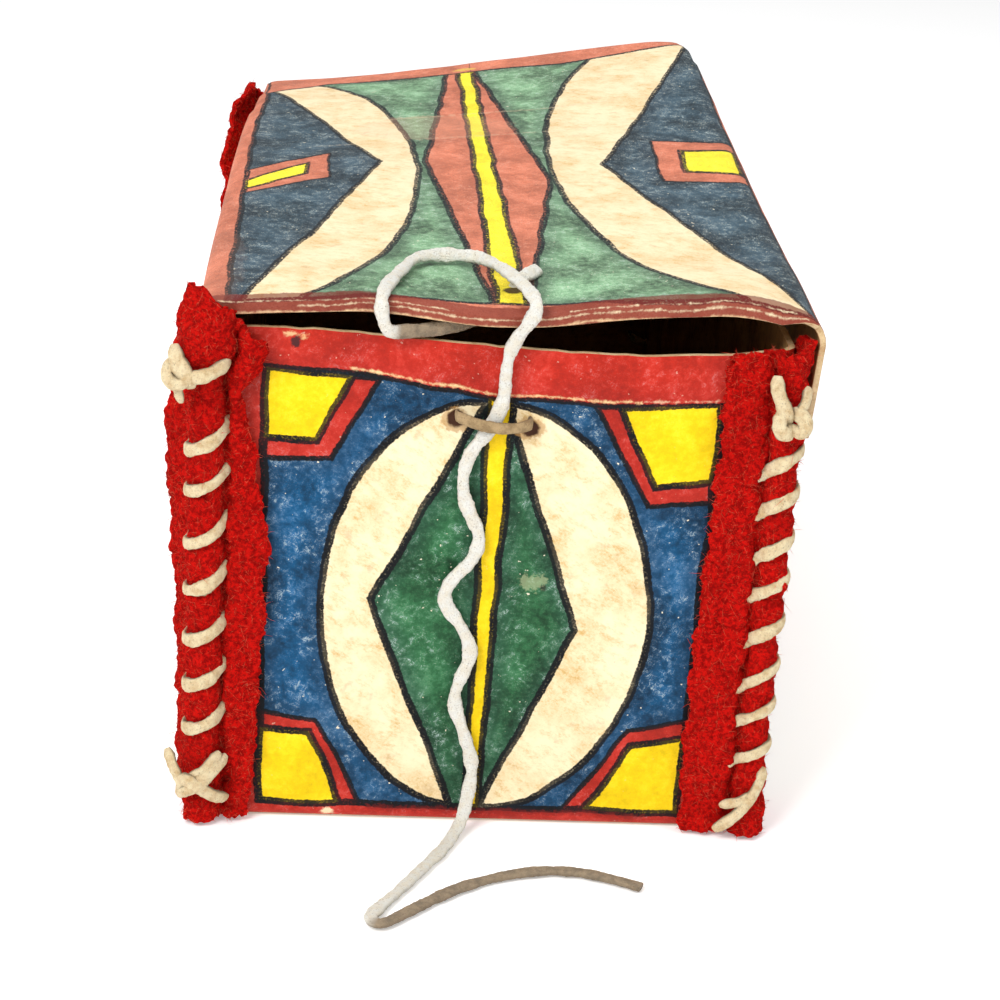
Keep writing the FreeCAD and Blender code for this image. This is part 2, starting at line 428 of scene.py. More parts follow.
def penGroup():
    # a dark outline with a ragged, partly rubbed edge
    tree, given, out = newGroup("penLine", {"Distance": "f", "Width": "f", "Point": "v"}, {"Line": "f"})
    ragged = cloudy(tree, given["Point"], 0.9, 3.0)
    half = times(tree, given["Width"], 0.5)
    half = plus(tree, half, calc(tree, "MULTIPLY_ADD", ragged, 0.9, -0.3))
    away = minus(tree, calc(tree, "ABSOLUTE", given["Distance"]), half)
    feed(tree, out, {"Line": spread(tree, away, -0.1, 0.28, 1.0, 0.0)})
    return tree


def paintGroup():
    # mottled earth paint: uneven coverage, dark pooling, chalky scratches and rubbed grain
    inputs = {"Colour": "c", "Point": "v", "Worn": "f", "Chalk": "f"}
    tree, given, out = newGroup("earthPaint", inputs, {"Colour": "c", "Height": "f", "Rough": "f"})
    large = cloudy(tree, given["Point"], 0.045, 4.0, 0.6)
    small = cloudy(tree, given["Point"], 0.4, 5.0, 0.68)
    grain = cloudy(tree, given["Point"], 1.9, 3.0, 0.75)
    patch = cloudy(tree, given["Point"], 0.09, 3.0, 0.6)
    shade = plus(tree, spread(tree, large, 0.34, 0.66, -0.42, 0.42),
                 spread(tree, small, 0.32, 0.68, -0.3, 0.3))
    shade = times(tree, shade, calc(tree, "MULTIPLY_ADD", given["Chalk"], 0.72, 0.28))
    bright = plus(tree, shade, 1.0)
    colour = vectorCalc(tree, "MULTIPLY", given["Colour"], (1, 1, 1))
    scaled = addNode(tree, "ShaderNodeVectorMath", {0: colour, "Scale": bright},
                     operation="SCALE").outputs[0]
    colour = mixColour(tree, times(tree, calc(tree, "MAXIMUM", shade, 0.0), 0.06), scaled,
                       (0.7, 0.74, 0.68, 1))
    scratch = None
    for turn, scale in ((0.5, 0.085), (-0.9, 0.12), (1.9, 0.07)):
        turned = turnedFlat(tree, given["Point"], turn)
        drawn = vectorCalc(tree, "MULTIPLY", turned, (1, 5, 1))
        ridge = cloudy(tree, drawn, scale, 3.0, 0.62)
        thin = spread(tree, calc(tree, "ABSOLUTE", minus(tree, ridge, 0.5)), 0.0, 0.014, 1.0, 0.0)
        scratch = thin if scratch is None else calc(tree, "MAXIMUM", scratch, thin)
    broken = times(tree, spread(tree, small, 0.48, 0.62), spread(tree, patch, 0.42, 0.62))
    scratch = times(tree, times(tree, scratch, broken), given["Chalk"])
    colour = mixColour(tree, times(tree, scratch, 0.75), colour, paintColour(190, 205, 205))
    rubbed = times(tree, spread(tree, grain, 0.52, 0.68), spread(tree, small, 0.38, 0.66))
    rubbed = times(tree, rubbed, times(tree, given["Worn"], spread(tree, patch, 0.3, 0.6, 0.35, 1.0)))
    rubbed = times(tree, rubbed, calc(tree, "MULTIPLY_ADD", given["Chalk"], 0.7, 0.3), clamp=True)
    colour = mixColour(tree, rubbed, colour, paintColour(206, 203, 182))
    pits = times(tree, spread(tree, grain, 0.46, 0.34), given["Worn"], clamp=True)
    colour = mixColour(tree, times(tree, pits, 0.5), colour, (0.02, 0.02, 0.025, 1))
    spots = cloudy(tree, given["Point"], 0.62, 2.0, 0.4)
    spots = spread(tree, spots, 0.745, 0.765)
    spots = times(tree, spots, calc(tree, "MULTIPLY_ADD", given["Chalk"], 0.8, 0.1))
    colour = mixColour(tree, spots, colour, paintColour(236, 226, 200))
    height = plus(tree, times(tree, small, 0.5), times(tree, grain, 0.5))
    height = minus(tree, height, times(tree, rubbed, 0.3))
    rough = spread(tree, small, 0.3, 0.7, 0.45, 0.65)
    feed(tree, out, {"Colour": colour, "Height": height, "Rough": rough})
    return tree


def hideGroup():
    # bare rawhide: cream with tan clouds, combed fibres, specks and small stains
    inputs = {"Point": "v", "Pale": "c", "Tan": "c"}
    tree, given, out = newGroup("bareHide", inputs, {"Colour": "c", "Height": "f"})
    clouds = cloudy(tree, given["Point"], 0.05, 5.0, 0.66)
    turned = turnedFlat(tree, given["Point"], 0.55)
    stretched = vectorCalc(tree, "MULTIPLY", turned, (0.6, 1.2, 1))
    fibre = cloudy(tree, stretched, 0.3, 6.0, 0.8)
    fine = cloudy(tree, given["Point"], 1.5, 3.0, 0.75)
    tan = plus(tree, spread(tree, clouds, 0.4, 0.68, 0.0, 0.6), spread(tree, fibre, 0.46, 0.7, 0.0, 0.6))
    tan = times(tree, tan, spread(tree, fine, 0.3, 0.62, 0.55, 1.1), clamp=True)
    colour = mixColour(tree, tan, given["Pale"], given["Tan"])
    stain = cloudy(tree, given["Point"], 0.13, 4.0, 0.6)
    colour = tinted(tree, colour, stain, 0.6, 0.76, 0.4, (168, 122, 70))
    speck = cloudy(tree, given["Point"], 0.9, 3.0, 0.6)
    colour = tinted(tree, colour, speck, 0.7, 0.76, 0.45, (120, 84, 48))
    height = plus(tree, times(tree, fibre, 0.5), times(tree, fine, 0.5))
    feed(tree, out, {"Colour": colour, "Height": height})
    return tree


handWobble = handGroup()
penLine = penGroup()
earthPaint = paintGroup()
bareHide = hideGroup()

paletteInputs = {"Red": "c", "Blue": "c", "Green": "c", "Yellow": "c", "Ink": "c", "Pale": "c",
                 "Tan": "c", "Worn": "f"}
chalkOf = {"Red": 0.25, "Yellow": 0.05, "Blue": 1.0, "Green": 1.0}


def paintedPanel(name, layers, ground):
    # layers are (colour name, outline, pen width) from the bottom up
    inputs = dict({"Place": "v"}, **paletteInputs)
    tree, given, out = newGroup(name, inputs, {"Colour": "c", "Height": "f", "Rough": "f"})
    point = useGroup(tree, handWobble, {"Place": given["Place"]})["Point"]
    flat, chalk, bare, line, pool = given[ground], 1.0, None, None, None
    for colour, shape, width in layers:
        distance = insideShape(tree, point, shape)
        mask = filled(tree, distance)
        if colour == "Hide":
            bare = mask if bare is None else calc(tree, "MAXIMUM", bare, mask)
        else:
            flat = mixColour(tree, mask, flat, given[colour])
            chalk = mixValue(tree, mask, chalk, chalkOf[colour])
            bare = times(tree, bare, minus(tree, 1.0, mask))
            if line is not None:
                covered = filled(tree, plus(tree, distance, 0.4))
                line = times(tree, line, minus(tree, 1.0, covered))
        if width:
            drawn = useGroup(tree, penLine, {"Distance": distance, "Width": width, "Point": point})["Line"]
            line = drawn if line is None else calc(tree, "MAXIMUM", line, drawn)
            near = calc(tree, "ABSOLUTE", distance)
            pool = near if pool is None else calc(tree, "MINIMUM", pool, near)
    depth = times(tree, spread(tree, pool, 1.0, 11.0, 0.42, 0.0), chalk)
    flat = mixColour(tree, depth, flat, (0.012, 0.018, 0.03, 1))
    painted = useGroup(tree, earthPaint, {"Colour": flat, "Point": point, "Worn": given["Worn"],
                                          "Chalk": chalk})
    hide = useGroup(tree, bareHide, {"Point": point, "Pale": given["Pale"], "Tan": given["Tan"]})
    colour = mixColour(tree, bare, painted["Colour"], hide["Colour"])
    rubbing = cloudy(tree, point, 1.3, 3.0, 0.65)
    fading = cloudy(tree, point, 0.06, 2.0, 0.5)
    gone = times(tree, spread(tree, rubbing, 0.52, 0.68), times(tree, given["Worn"], 0.75))
    ink = times(tree, line, minus(tree, 1.0, gone))
    ink = times(tree, ink, spread(tree, fading, 0.35, 0.6, 0.94, 1.0), clamp=True)
    colour = mixColour(tree, ink, colour, given["Ink"])
    height = mixValue(tree, bare, painted["Height"], hide["Height"])
    height = plus(tree, height, times(tree, ink, 0.25))
    feed(tree, out, {"Colour": colour, "Height": height, "Rough": painted["Rough"]})
    return tree


# front panel, in millimetres from its middle and from its bottom
frontLayers = [
    ("Hide", {"centre": (-2, 85), "radii": (57.5, 79)}, 2.2),
    ("Green", [(-5, 164), (-42, 88), (-10, 6), (-1, 6), (30, 80), (1, 164)], 2.3),
    ("Yellow", [(-5, 166), (3.5, 166), (-0.5, 6), (-5.5, 6)], 2.2),
    ("Red", [(-83, 171), (-42, 168), (-57, 138), (-83, 137.5)], 1.4),
    ("Yellow", [(-83, 170), (-51, 169), (-62, 144.5), (-83, 144.5)], 2.2),
    ("Red", [(31, 165), (76, 167), (74, 129.5), (52, 129)], 1.4),
    ("Yellow", [(39, 165), (76, 167), (73.5, 137), (54, 136)], 2.2),
    ("Red", [(-83, 43.5), (-59, 39), (-42, 5), (-83, 5)], 1.4),
    ("Yellow", [(-83, 37), (-61.5, 34.5), (-49, 5), (-83, 5)], 2.2),
    ("Red", [(29, 5), (52, 39.5), (73, 44), (73, 5)], 1.4),
    ("Yellow", [(37, 5), (53.5, 33.5), (73, 37.5), (73, 5)], 2.2),
    ("Red", [[(-120, 6.8), (120, 6.3), (120, -40), (-120, -40)],
             [(-80.5, 230), (-79, -40), (-130, -40), (-130, 230)],
             [(75.2, 230), (71.2, -40), (130, -40), (130, 230)]], 2.5),
    ("Red", [[(-110, 171.0), (-48, 170.2), (-48, 230), (-110, 230)],
             [(-50, 170.2), (-6, 165.6), (46, 165.6), (120, 167.5), (120, 230), (-50, 230)]], 1.3),
]
# lid, in millimetres across and from front to back, as on the flat blank
lidLayers = [
    ("Hide", {"centre": (-98, -16), "radii": (70, 186)}, 2.2),
    ("Hide", {"centre": (103, 6), "radii": (78, 200)}, 2.2),
    ("Blue", [(-130, 148), (-92, 148), (-43, 1), (-89, -188), (-130, -188)], 1.8),
    ("Blue", [(140, 174), (101, 174), (46, -5), (101, -183), (140, -183)], 1.8),
    ("Red", [(-110, -30), (-64, 18), (-63, -24), (-110, -62)], 0.8),
    ("Yellow", [(-110, -50), (-72, -1), (-72, -19), (-110, -60)], 1.4),
    ("Red", [(69, 29), (112, 29), (110, -25), (68, -26)], 0.9),
    ("Yellow", [(80, 16), (102.5, 17), (101.5, -13), (79, -13)], 2.3),
    ("Red", [(-12, 162), (-25, -2), (-5, -178), (7, -178), (24, -26), (0, 164)], 2.2),
    ("Yellow", [(-7, 170), (-0.5, 170), (6, -178), (-4, -178)], 2.0),
    ("Red", [[(-160, -187.5), (-30, -184.5), (160, -185.5), (160, -260), (-160, -260)],
             [(-62, -187), (-3, -176.6), (62, -187.5), (0, -240)],
             [(-92.5, -260), (-95.8, 40), (-160, 40), (-160, -260)],
             [(-95.8, 30), (-93.5, 146), (-160, 146), (-160, 30)],
             [(-95, 142.5), (-66, 159), (-66, 300), (-95, 300)],
             [(-94, 144), (-94, 300), (-160, 300), (-160, 144)],
             [(-70, 158.6), (0, 162), (0, 300), (-70, 300)],
             [(-2, 162), (40, 158), (160, 186), (160, 300), (-2, 300)],
             [(103.0, 300), (104.5, -260), (170, -260), (170, 300)]], 1.8),
]
frontPattern = paintedPanel("frontPattern", frontLayers, "Blue")
lidPattern = paintedPanel("lidPattern", lidLayers, "Green")
print("paint groups ready")

frontPalette = {"Red": (184, 38, 22), "Blue": (10, 78, 120), "Green": (44, 100, 62),
                "Yellow": (240, 202, 0),
                "Ink": (10, 12, 16), "Pale": (242, 226, 188), "Tan": (206, 168, 104)}
lidPalette = {"Red": (212, 122, 92), "Blue": (56, 80, 94), "Green": (122, 162, 124),
              "Yellow": (255, 232, 48),
              "Ink": (28, 30, 34), "Pale": (242, 224, 186), "Tan": (214, 178, 120)}


def solidPoint(tree):
    # the piece's own coordinates in millimetres
    place = addNode(tree, "ShaderNodeTexCoord").outputs["Object"]
    return vectorCalc(tree, "MULTIPLY", place, (1000, 1000, 1000))


def setShader(shader, **values):
    names = {"rough": "Roughness", "gloss": "Specular IOR Level", "sheen": "Sheen Weight",
             "sheenRough": "Sheen Roughness", "sheenTint": "Sheen Tint", "colour": "Base Color",
             "glow": "Emission Strength", "glowTint": "Emission Color"}
    for key, value in values.items():
        shader.inputs[names[key]].default_value = value


def newMaterial(name):
    material = bpy.data.materials.new(name)
    material.use_nodes = True
    tree = material.node_tree
    shader = tree.nodes["Principled BSDF"]
    return material, tree, shader


def addBump(tree, shader, height, strength, distance):
    bump = addNode(tree, "ShaderNodeBump", {"Height": height, "Strength": strength, "Distance": distance})
    tree.links.new(bump.outputs[0], shader.inputs["Normal"])


def panelMaterial(name, pattern, palette, worn, marks=()):
    # marks are (outline, colour, amount, raggedness in mm): stains and bare spots on the panel, and dark
    # spots of painted shade for holes
    material, tree, shader = newMaterial(name)
    place = addNode(tree, "ShaderNodeUVMap", uv_map="blank").outputs[0]
    inputs = {key: paintColour(*value) for key, value in palette.items()}
    inputs.update({"Place": place, "Worn": worn})
    painted = useGroup(tree, pattern, inputs)
    colour = painted["Colour"]
    point = useGroup(tree, handWobble, {"Place": place})["Point"]
    for outline, tint, amount, ragged in marks:
        shape = insideShape(tree, point, outline)
        edge = cloudy(tree, point, 0.5, 4.0, 0.7)
        shape = plus(tree, shape, calc(tree, "MULTIPLY_ADD", edge, 2 * ragged, -ragged))
        colour = mixColour(tree, spread(tree, shape, -0.8, 0.4, amount, 0.0), colour, paintColour(*tint))
    tree.links.new(colour, shader.inputs["Base Color"])
    tree.links.new(painted["Rough"], shader.inputs["Roughness"])
    setShader(shader, gloss=0.16)
    addBump(tree, shader, painted["Height"], 0.45, 0.0007)
    return material


def bareMaterial(name, pale, tan, roughness, bump):
    material, tree, shader = newMaterial(name)
    point = solidPoint(tree)
    hide = useGroup(tree, bareHide, {"Point": point, "Pale": paintColour(*pale), "Tan": paintColour(*tan)})
    tree.links.new(hide["Colour"], shader.inputs["Base Color"])
    setShader(shader, rough=roughness, gloss=0.3)
    addBump(tree, shader, hide["Height"], bump, 0.0008)
    return material


def thongMaterial(name, pale, tan, under, paintedSideShade):
    # pale grain side and browner suede side, with pores, creases and rubbed dirt, and painted shade down
    # the thong's sides and underside
    material, tree, shader = newMaterial(name)
    along = addNode(tree, "ShaderNodeUVMap", uv_map="along").outputs[0]
    point = solidPoint(tree)
    side = addNode(tree, "ShaderNodeAttribute", attribute_name="suede").outputs["Fac"]
    clouds = cloudy(tree, point, 0.35, 4.0, 0.6)
    pores = cloudy(tree, point, 1.8, 3.0, 0.7)
    strip = vectorCalc(tree, "MULTIPLY", along, (260, 4, 1))
    around = addNode(tree, "ShaderNodeSeparateXYZ", {0: along}).outputs["Y"]
    crown = calc(tree, "SINE", times(tree, around, 2 * math.pi))      # 1 along the middle of the outer face
    creases = cloudy(tree, strip, 1.0, 3.0, 0.6)
    colour = mixColour(tree, spread(tree, clouds, 0.35, 0.7, 0.0, 0.75), paintColour(*pale),
                       paintColour(*tan))
    suede = mixColour(tree, spread(tree, clouds, 0.35, 0.7), paintColour(*under),
                      paintColour(*[v * 0.72 for v in under]))
    colour = mixColour(tree, side, colour, suede)
    colour = tinted(tree, colour, pores, 0.54, 0.72, 0.5, (132, 98, 58))
    colour = tinted(tree, colour, creases, 0.62, 0.75, 0.3, (150, 118, 78))
    # painted shade: darker brown away from the middle of the outer face, on the sides and underside
    edge = plus(tree, crown, calc(tree, "MULTIPLY_ADD", clouds, 0.8, -0.4))
    colour = mixColour(tree, spread(tree, edge, -0.2, 0.62, paintedSideShade, 0.0), colour,
                       paintColour(*[v * 0.55 for v in under]))
    pits = spread(tree, pores, 0.66, 0.74, 0.0, 0.55)
    colour = mixColour(tree, pits, colour, paintColour(112, 78, 44))
    tree.links.new(colour, shader.inputs["Base Color"])
    setShader(shader, rough=0.85, gloss=0.15, sheen=0.1)
    height = plus(tree, pores, times(tree, creases, 0.9))
    addBump(tree, shader, height, 1.0, 0.0014)
    return material


def woolMaterial(name, bright, shadedWool):
    # milled wool: felted tufts with painted shade in the hollows between them, broad patches of painted
    # shade, and bright broken fibres
    material, tree, shader = newMaterial(name)
    point = solidPoint(tree)
    tufts = cloudy(tree, point, 0.6, 5.0, 0.75)
    curly = {"Vector": point, "Scale": 1.1, "Detail": 3.0, "Distortion": 2.2}
    worm = addNode(tree, "ShaderNodeTexNoise", curly).outputs["Fac"]
    fluff = cloudy(tree, point, 3.2, 3.0, 0.8)
    clouds = cloudy(tree, point, 0.07, 3.0, 0.6)
    # painted shade: the colour falls to the shaded wool colour in the tufts' hollows
    colour = mixColour(tree, spread(tree, tufts, 0.38, 0.6), paintColour(*shadedWool), paintColour(*bright))
    colour = tinted(tree, colour, worm, 0.56, 0.76, 0.5, (246, 66, 44))
    # painted shade: broad cloudy patches darkened to deep red
    colour = tinted(tree, colour, clouds, 0.5, 0.75, 0.35, (140, 2, 6))
    colour = tinted(tree, colour, fluff, 0.62, 0.78, 0.5, (250, 120, 92))
    tree.links.new(colour, shader.inputs["Base Color"])
    setShader(shader, rough=0.95, gloss=0.03, sheen=0.3, sheenRough=0.5, sheenTint=paintColour(255, 60, 40))
    height = plus(tree, times(tree, tufts, 0.8), times(tree, fluff, 0.5))
    height = plus(tree, height, times(tree, worm, 0.5))
    addBump(tree, shader, height, 1.0, 0.0026)
    return material


creamTint = (240, 222, 182)


def spot(x, y, wide, high):
    return {"centre": (x, y), "radii": (wide, high)}


def streak(x, y, farX, farY, thick):
    return [(x, y), (farX, farY), (farX, farY + thick), (x, y + thick)]


frontMarks = [
    (spot(-54, 3.0, 2.6, 1.6), creamTint, 0.95, 2.0),
    (spot(-15.5, 156.3, 5.2, 4.2), (176, 132, 76), 0.65, 3),
    (spot(9.5, 155, 5.2, 4.2), (176, 132, 76), 0.65, 3),
    # painted shade: the two dark spots below stand in for the shaded insides of the loop's holes
    (spot(-15.5, 156.6, 3.3, 3.2), (62, 34, 18), 1.0, 0.9),
    (spot(9.6, 155.0, 3.3, 3.2), (62, 34, 18), 1.0, 0.9),
    (spot(-70, 180, 1.7, 1.9), (48, 34, 36), 0.9, 2.4),
    (spot(-67.5, 181.5, 1.2, 1.4), (224, 178, 124), 0.85, 2.0),
    (spot(-72, 182.6, 2.4, 0.8), (228, 190, 140), 0.8, 1.8),
    (streak(-52, 171.4, -6, 166.9, 0.9), (236, 206, 150), 0.9, 1.5),
    (streak(-6, 166.7, 47, 166.7, 0.9), (236, 206, 150), 0.9, 1.5),
    (streak(47, 167.0, 74, 167.6, 0.5), creamTint, 0.6, 1.8),
    (spot(18, 96, 1.6, 1.5), (40, 36, 30), 0.8, 1),
    (spot(14, 98, 5, 3.2), (190, 196, 150), 0.35, 5),
    (streak(-40, 4.0, 60, 3.6, 2.2), (120, 26, 22), 0.55, 3),
]
lidMarks = [
    (streak(-120, -215, 120, -215, 34.0), (112, 36, 28), 0.78, 2.5),
    (streak(-70, -188.3, 100, -187.8, 0.45), creamTint, 0.85, 1.3),
    (streak(-104, -186.4, -20, -186.0, 0.3), creamTint, 0.75, 1.5),
    (streak(20, -186.0, 96, -185.4, 0.3), creamTint, 0.75, 1.6),
    (streak(-104, -191.0, 106, -190.8, 0.9), (228, 196, 150), 0.9, 1.0),
    # painted shade: dark spot standing in for the shaded inside of the tie's hole
    (spot(1.6, -164.0, 3.6, 3.4), (58, 36, 22), 0.95, 1.2),
    (spot(-4, 168, 5.5, 2.6), (226, 190, 90), 0.75, 3),
    (streak(-40, 75, 60, 92, 2.0), (214, 190, 160), 0.28, 4),
    (streak(-70, 30, 40, 52, 1.5), (224, 206, 176), 0.22, 4),
    (spot(-20, 60, 34, 22), (226, 170, 140), 0.16, 9),
    (spot(-98, -150, 9, 46), (150, 120, 104), 0.12, 6),
]
frontPaint = panelMaterial("front_paint", frontPattern, frontPalette, 0.25, frontMarks)
backPaint = panelMaterial("back_paint", frontPattern, frontPalette, 0.6)
sidePaint = panelMaterial("side_paint", lidPattern, frontPalette, 0.6)
lidPaint = panelMaterial("lid_paint", lidPattern, lidPalette, 1.25, lidMarks)
cutEdge = bareMaterial("cut_edge", (228, 204, 160), (164, 120, 72), 0.85, 0.8)
insideHide = bareMaterial("inside_hide", (196, 150, 96), (132, 88, 46), 0.75, 0.5)
woolRed = woolMaterial("red_wool_cloth", (255, 24, 20), (166, 2, 8))
napRed = woolMaterial("red_wool_fibre", (255, 122, 92), (232, 40, 30))
laceHide = thongMaterial("lacing_hide", (255, 236, 194), (218, 180, 122), (178, 140, 90), 0.75)
tieHide = thongMaterial("tie_hide", (255, 253, 244), (250, 240, 218), (166, 140, 106), 0.3)
print("materials ready")


# tie thong: the free cord, made before the other pieces
tieThong = {"width": 0.0046, "thick": 0.0024, "seed": 4, "soften": 0.003, "suedeFrom": 0.0205, "suede": 0.9}
tieRoute = [      # (the way the thong's flat face looks, its points)
    (lean, [(0.0112, -0.1475, 0.1978), (0.0078, -0.1535, 0.1976), (0.0034, -0.1592, 0.1970)]),
    (front, [(0.0028, -0.1612, 0.1900), (-0.0030, -0.1688, 0.1884), (-0.0135, -0.1780, 0.1870),
        (-0.0258, -0.1835, 0.1858), (-0.0352, -0.1868, 0.1858), (-0.0408, -0.1894, 0.1862),
        (-0.0428, -0.1898, 0.1962)]),
    (lean, [(-0.0418, -0.1835, 0.1992), (-0.0388, -0.1700, 0.1990), (-0.0350, -0.1570, 0.1990),
        (-0.0314, -0.1440, 0.1990), (-0.0245, -0.1386, 0.1990), (-0.0105, -0.1388, 0.1992),
        (-0.0060, -0.1465, 0.1998), (-0.0016, -0.1580, 0.2008), (0.0026, -0.1705, 0.2008),
        (0.0064, -0.1812, 0.2000)]),
    (front, [(0.0086, -0.1897, 0.1985), (0.0078, -0.1903, 0.1935), (0.0018, -0.1880, 0.1845),
        (-0.0002, -0.1860, 0.1745), (0.0002, -0.1854, 0.1625), (-0.0045, -0.1853, 0.1515),
        (-0.0110, -0.1852, 0.1430), (-0.0128, -0.1856, 0.1320), (-0.0100, -0.1852, 0.1220),
        (-0.0050, -0.1853, 0.1135), (-0.0072, -0.1856, 0.1040), (-0.0145, -0.1858, 0.0970),
        (-0.0175, -0.1854, 0.0885), (-0.0092, -0.1853, 0.0780), (-0.0056, -0.1856, 0.0685),
        (-0.0092, -0.1858, 0.0595), (-0.0118, -0.1854, 0.0500), (-0.0072, -0.1855, 0.0380),
        (-0.0030, -0.1858, 0.0250), (-0.0042, -0.1864, 0.0140)]),
    (front + up, [(-0.0060, -0.1896, 0.0048)]),
    (up, [(-0.0095, -0.1970, 0.0019), (-0.0140, -0.2075, 0.0016), (-0.0205, -0.2190, 0.0018),
        (-0.0270, -0.2310, 0.0016), (-0.0328, -0.2408, 0.0018), (-0.0365, -0.2470, 0.0018),
        (-0.0392, -0.2530, 0.0020), (-0.0352, -0.2572, 0.0022), (-0.0285, -0.2502, 0.0018),
        (-0.0185, -0.2402, 0.0017), (-0.0080, -0.2310, 0.0018), (0.0050, -0.2235, 0.0017),
        (0.0190, -0.2186, 0.0018), (0.0320, -0.2182, 0.0017), (0.0440, -0.2222, 0.0018),
        (0.0548, -0.2278, 0.0017)]),
]
gapBend = 8                     # the control point where it folds up round the lip
floorFold = 47                  # the control point where it folds back on the floor


def addTieThong(settings, stretches):
    route = [(point, facing) for facing, points in stretches for point in points]
    line, facing = thongRings(route, 14)
    piece = sweepThong("tie_thong", line, facing, settings["width"], settings["thick"], settings["seed"],
                       sides=16, rough=0.16, taper=0.0)
    lengths = lengthsAlong(line)
    gapEnd, foldAt = (lengths[np.argmin(np.linalg.norm(line - np.array(route[k][0]), axis=1))]
                      for k in (gapBend, floorFold))
    points = vertexArray(piece)
    suede = np.zeros(len(points), np.float32)
    for i, point in enumerate(points):
        at = lengths[np.argmin(((line - point) ** 2).sum(axis=1))]
        hidden = min((at - settings["suedeFrom"]) / settings["soften"],
                     (gapEnd - 0.002 - at) / settings["soften"], 1)
        folded = min((at - foldAt - 0.001) / settings["soften"], 1)
        suede[i] = settings["suede"] * max(hidden, folded, 0)
    addSuede(piece, suede)
    piece.data.materials.append(tieHide)
    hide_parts("tie_thong_upper", "tie_thong_lower")
    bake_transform(piece)
    print(f"tie thong {lengths[-1] * 1000:.0f} mm")
    return piece


addTieThong(tieThong, tieRoute)


# rawhide body
bodyShape = {"cuts": 40, "foldRadius": 0.004, "backTop": 0.1765}
frontTop = [(-98, 184.0), (-81, 184.3), (-59, 184.0), (-26, 182.0), (11, 180.0), (45, 179.2), (78, 181.2),
            (98, 184.4)]


def panelPlace(normal, x, y, z):
    # where a point of a wall lies on its painted panel, in metres
    if normal[1] < -0.5:
        return (x, z)
    if normal[1] > 0.5:
        return (-x, z * 0.93)
    if abs(normal[0]) > 0.5:
        side = 1 if normal[0] > 0 else -1
        return ((z - 0.088) * 1.06, side * y * 0.93 - 0.006)
    return (x, y)


def addBody(shape):
    deselectAll()
    bpy.ops.mesh.primitive_cube_add(size=1, location=(0, 0, bodyHigh[2] / 2))
    piece = bpy.context.object
    piece.scale = (halfWidth * 2, halfDepth * 2, bodyHigh[2])
    bpy.ops.object.transform_apply(location=True, rotation=True, scale=True)
    toMode("EDIT")
    bpy.ops.mesh.select_all(action="SELECT")
    bpy.ops.mesh.subdivide(number_cuts=shape["cuts"])
    clearMeshSelection()
    top = bodyHigh[2] - 1e-5
    for face in piece.data.polygons:
        face.select = all(piece.data.vertices[v].co.z > top for v in face.vertices)
    toMode("EDIT")
    bpy.ops.mesh.delete(type="FACE")
    clearMeshSelection()

    def onFold(a, b):
        corner = all(abs(abs(p.x) - halfWidth) < 1e-5 and abs(abs(p.y) - halfDepth) < 1e-5 for p in (a, b))
        foot = all(p.z < 1e-5 for p in (a, b))
        sideFoot = foot and all(abs(abs(p.x) - halfWidth) < 1e-5 for p in (a, b))
        endFoot = foot and all(abs(abs(p.y) - halfDepth) < 1e-5 for p in (a, b))
        return corner or sideFoot or endFoot

    for edge in piece.data.edges:
        a, b = (piece.data.vertices[v].co for v in edge.vertices)
        edge.select = onFold(a, b)
    toMode("EDIT")
    bpy.ops.mesh.bevel(offset=shape["foldRadius"], segments=4)
    toMode("OBJECT")
    uv = blankMap(piece)
    for face in piece.data.polygons:
        n = face.normal
        face.material_index = 0 if n.y < -0.7 else 1 if abs(n.x) > 0.7 else 2 if n.y > 0.7 else 3
        for loop in face.loop_indices:
            co = piece.data.vertices[piece.data.loops[loop].vertex_index].co
            uv.data[loop].uv = panelPlace(n, co.x, co.y, co.z)
    points = vertexArray(piece)
    for p in points:
        share = p[2] / bodyHigh[2]
        wave = noiseAt(*p, 0.07, 3.1) * 0.0009 + noiseAt(*p, 0.025, 8.0) * 0.0004
        bow = math.sin(math.pi * min(1, share)) * 0.0012
        if p[1] < -halfDepth + 0.0005:
            p[1] += abs(wave) * 0.6 - 0.0001
            topNow = along(frontTop, p[0] * 1000) * mm
            p[2] = share * (topNow + noiseAt(p[0], 0, 0, 0.006, 5.0) * 0.0005 * (share > 0.97))
        elif p[1] > halfDepth - 0.0005:
            p[1] += wave * 0.5
            p[2] = share * shape["backTop"]
        elif p[0] > halfWidth - 0.0005:
            p[0] += wave - bow * 0.5 - (1 - share) * 0.0025
            p[2] += share * noiseAt(0, p[1], 0, 0.03, 2.0) * 0.0014
        elif p[0] < -halfWidth + 0.0005:
            p[0] += wave + bow * 0.5
            p[2] += share * noiseAt(0, p[1], 0, 0.03, 6.0) * 0.0014
        p[2] = max(p[2], 0.0)
    setVertices(piece, points)
    for paint in (frontPaint, sidePaint, backPaint, insideHide, cutEdge, cutEdge, cutEdge, insideHide):
        piece.data.materials.append(paint)
    applyModifier(piece, "SOLIDIFY", thickness=hideThick, offset=-1, material_offset=7,
                  material_offset_rim=4,
                  use_even_offset=True)
    applyModifier(piece, "BEVEL", width=0.0004, segments=2, limit_method="ANGLE",
                  angle_limit=math.radians(60))
    shadeSmooth(piece, 35)
    piece.name = "rawhide_body"
    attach(piece, "box")
    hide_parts("hide_body")
    print("body made")
    return piece


addBody(bodyShape)


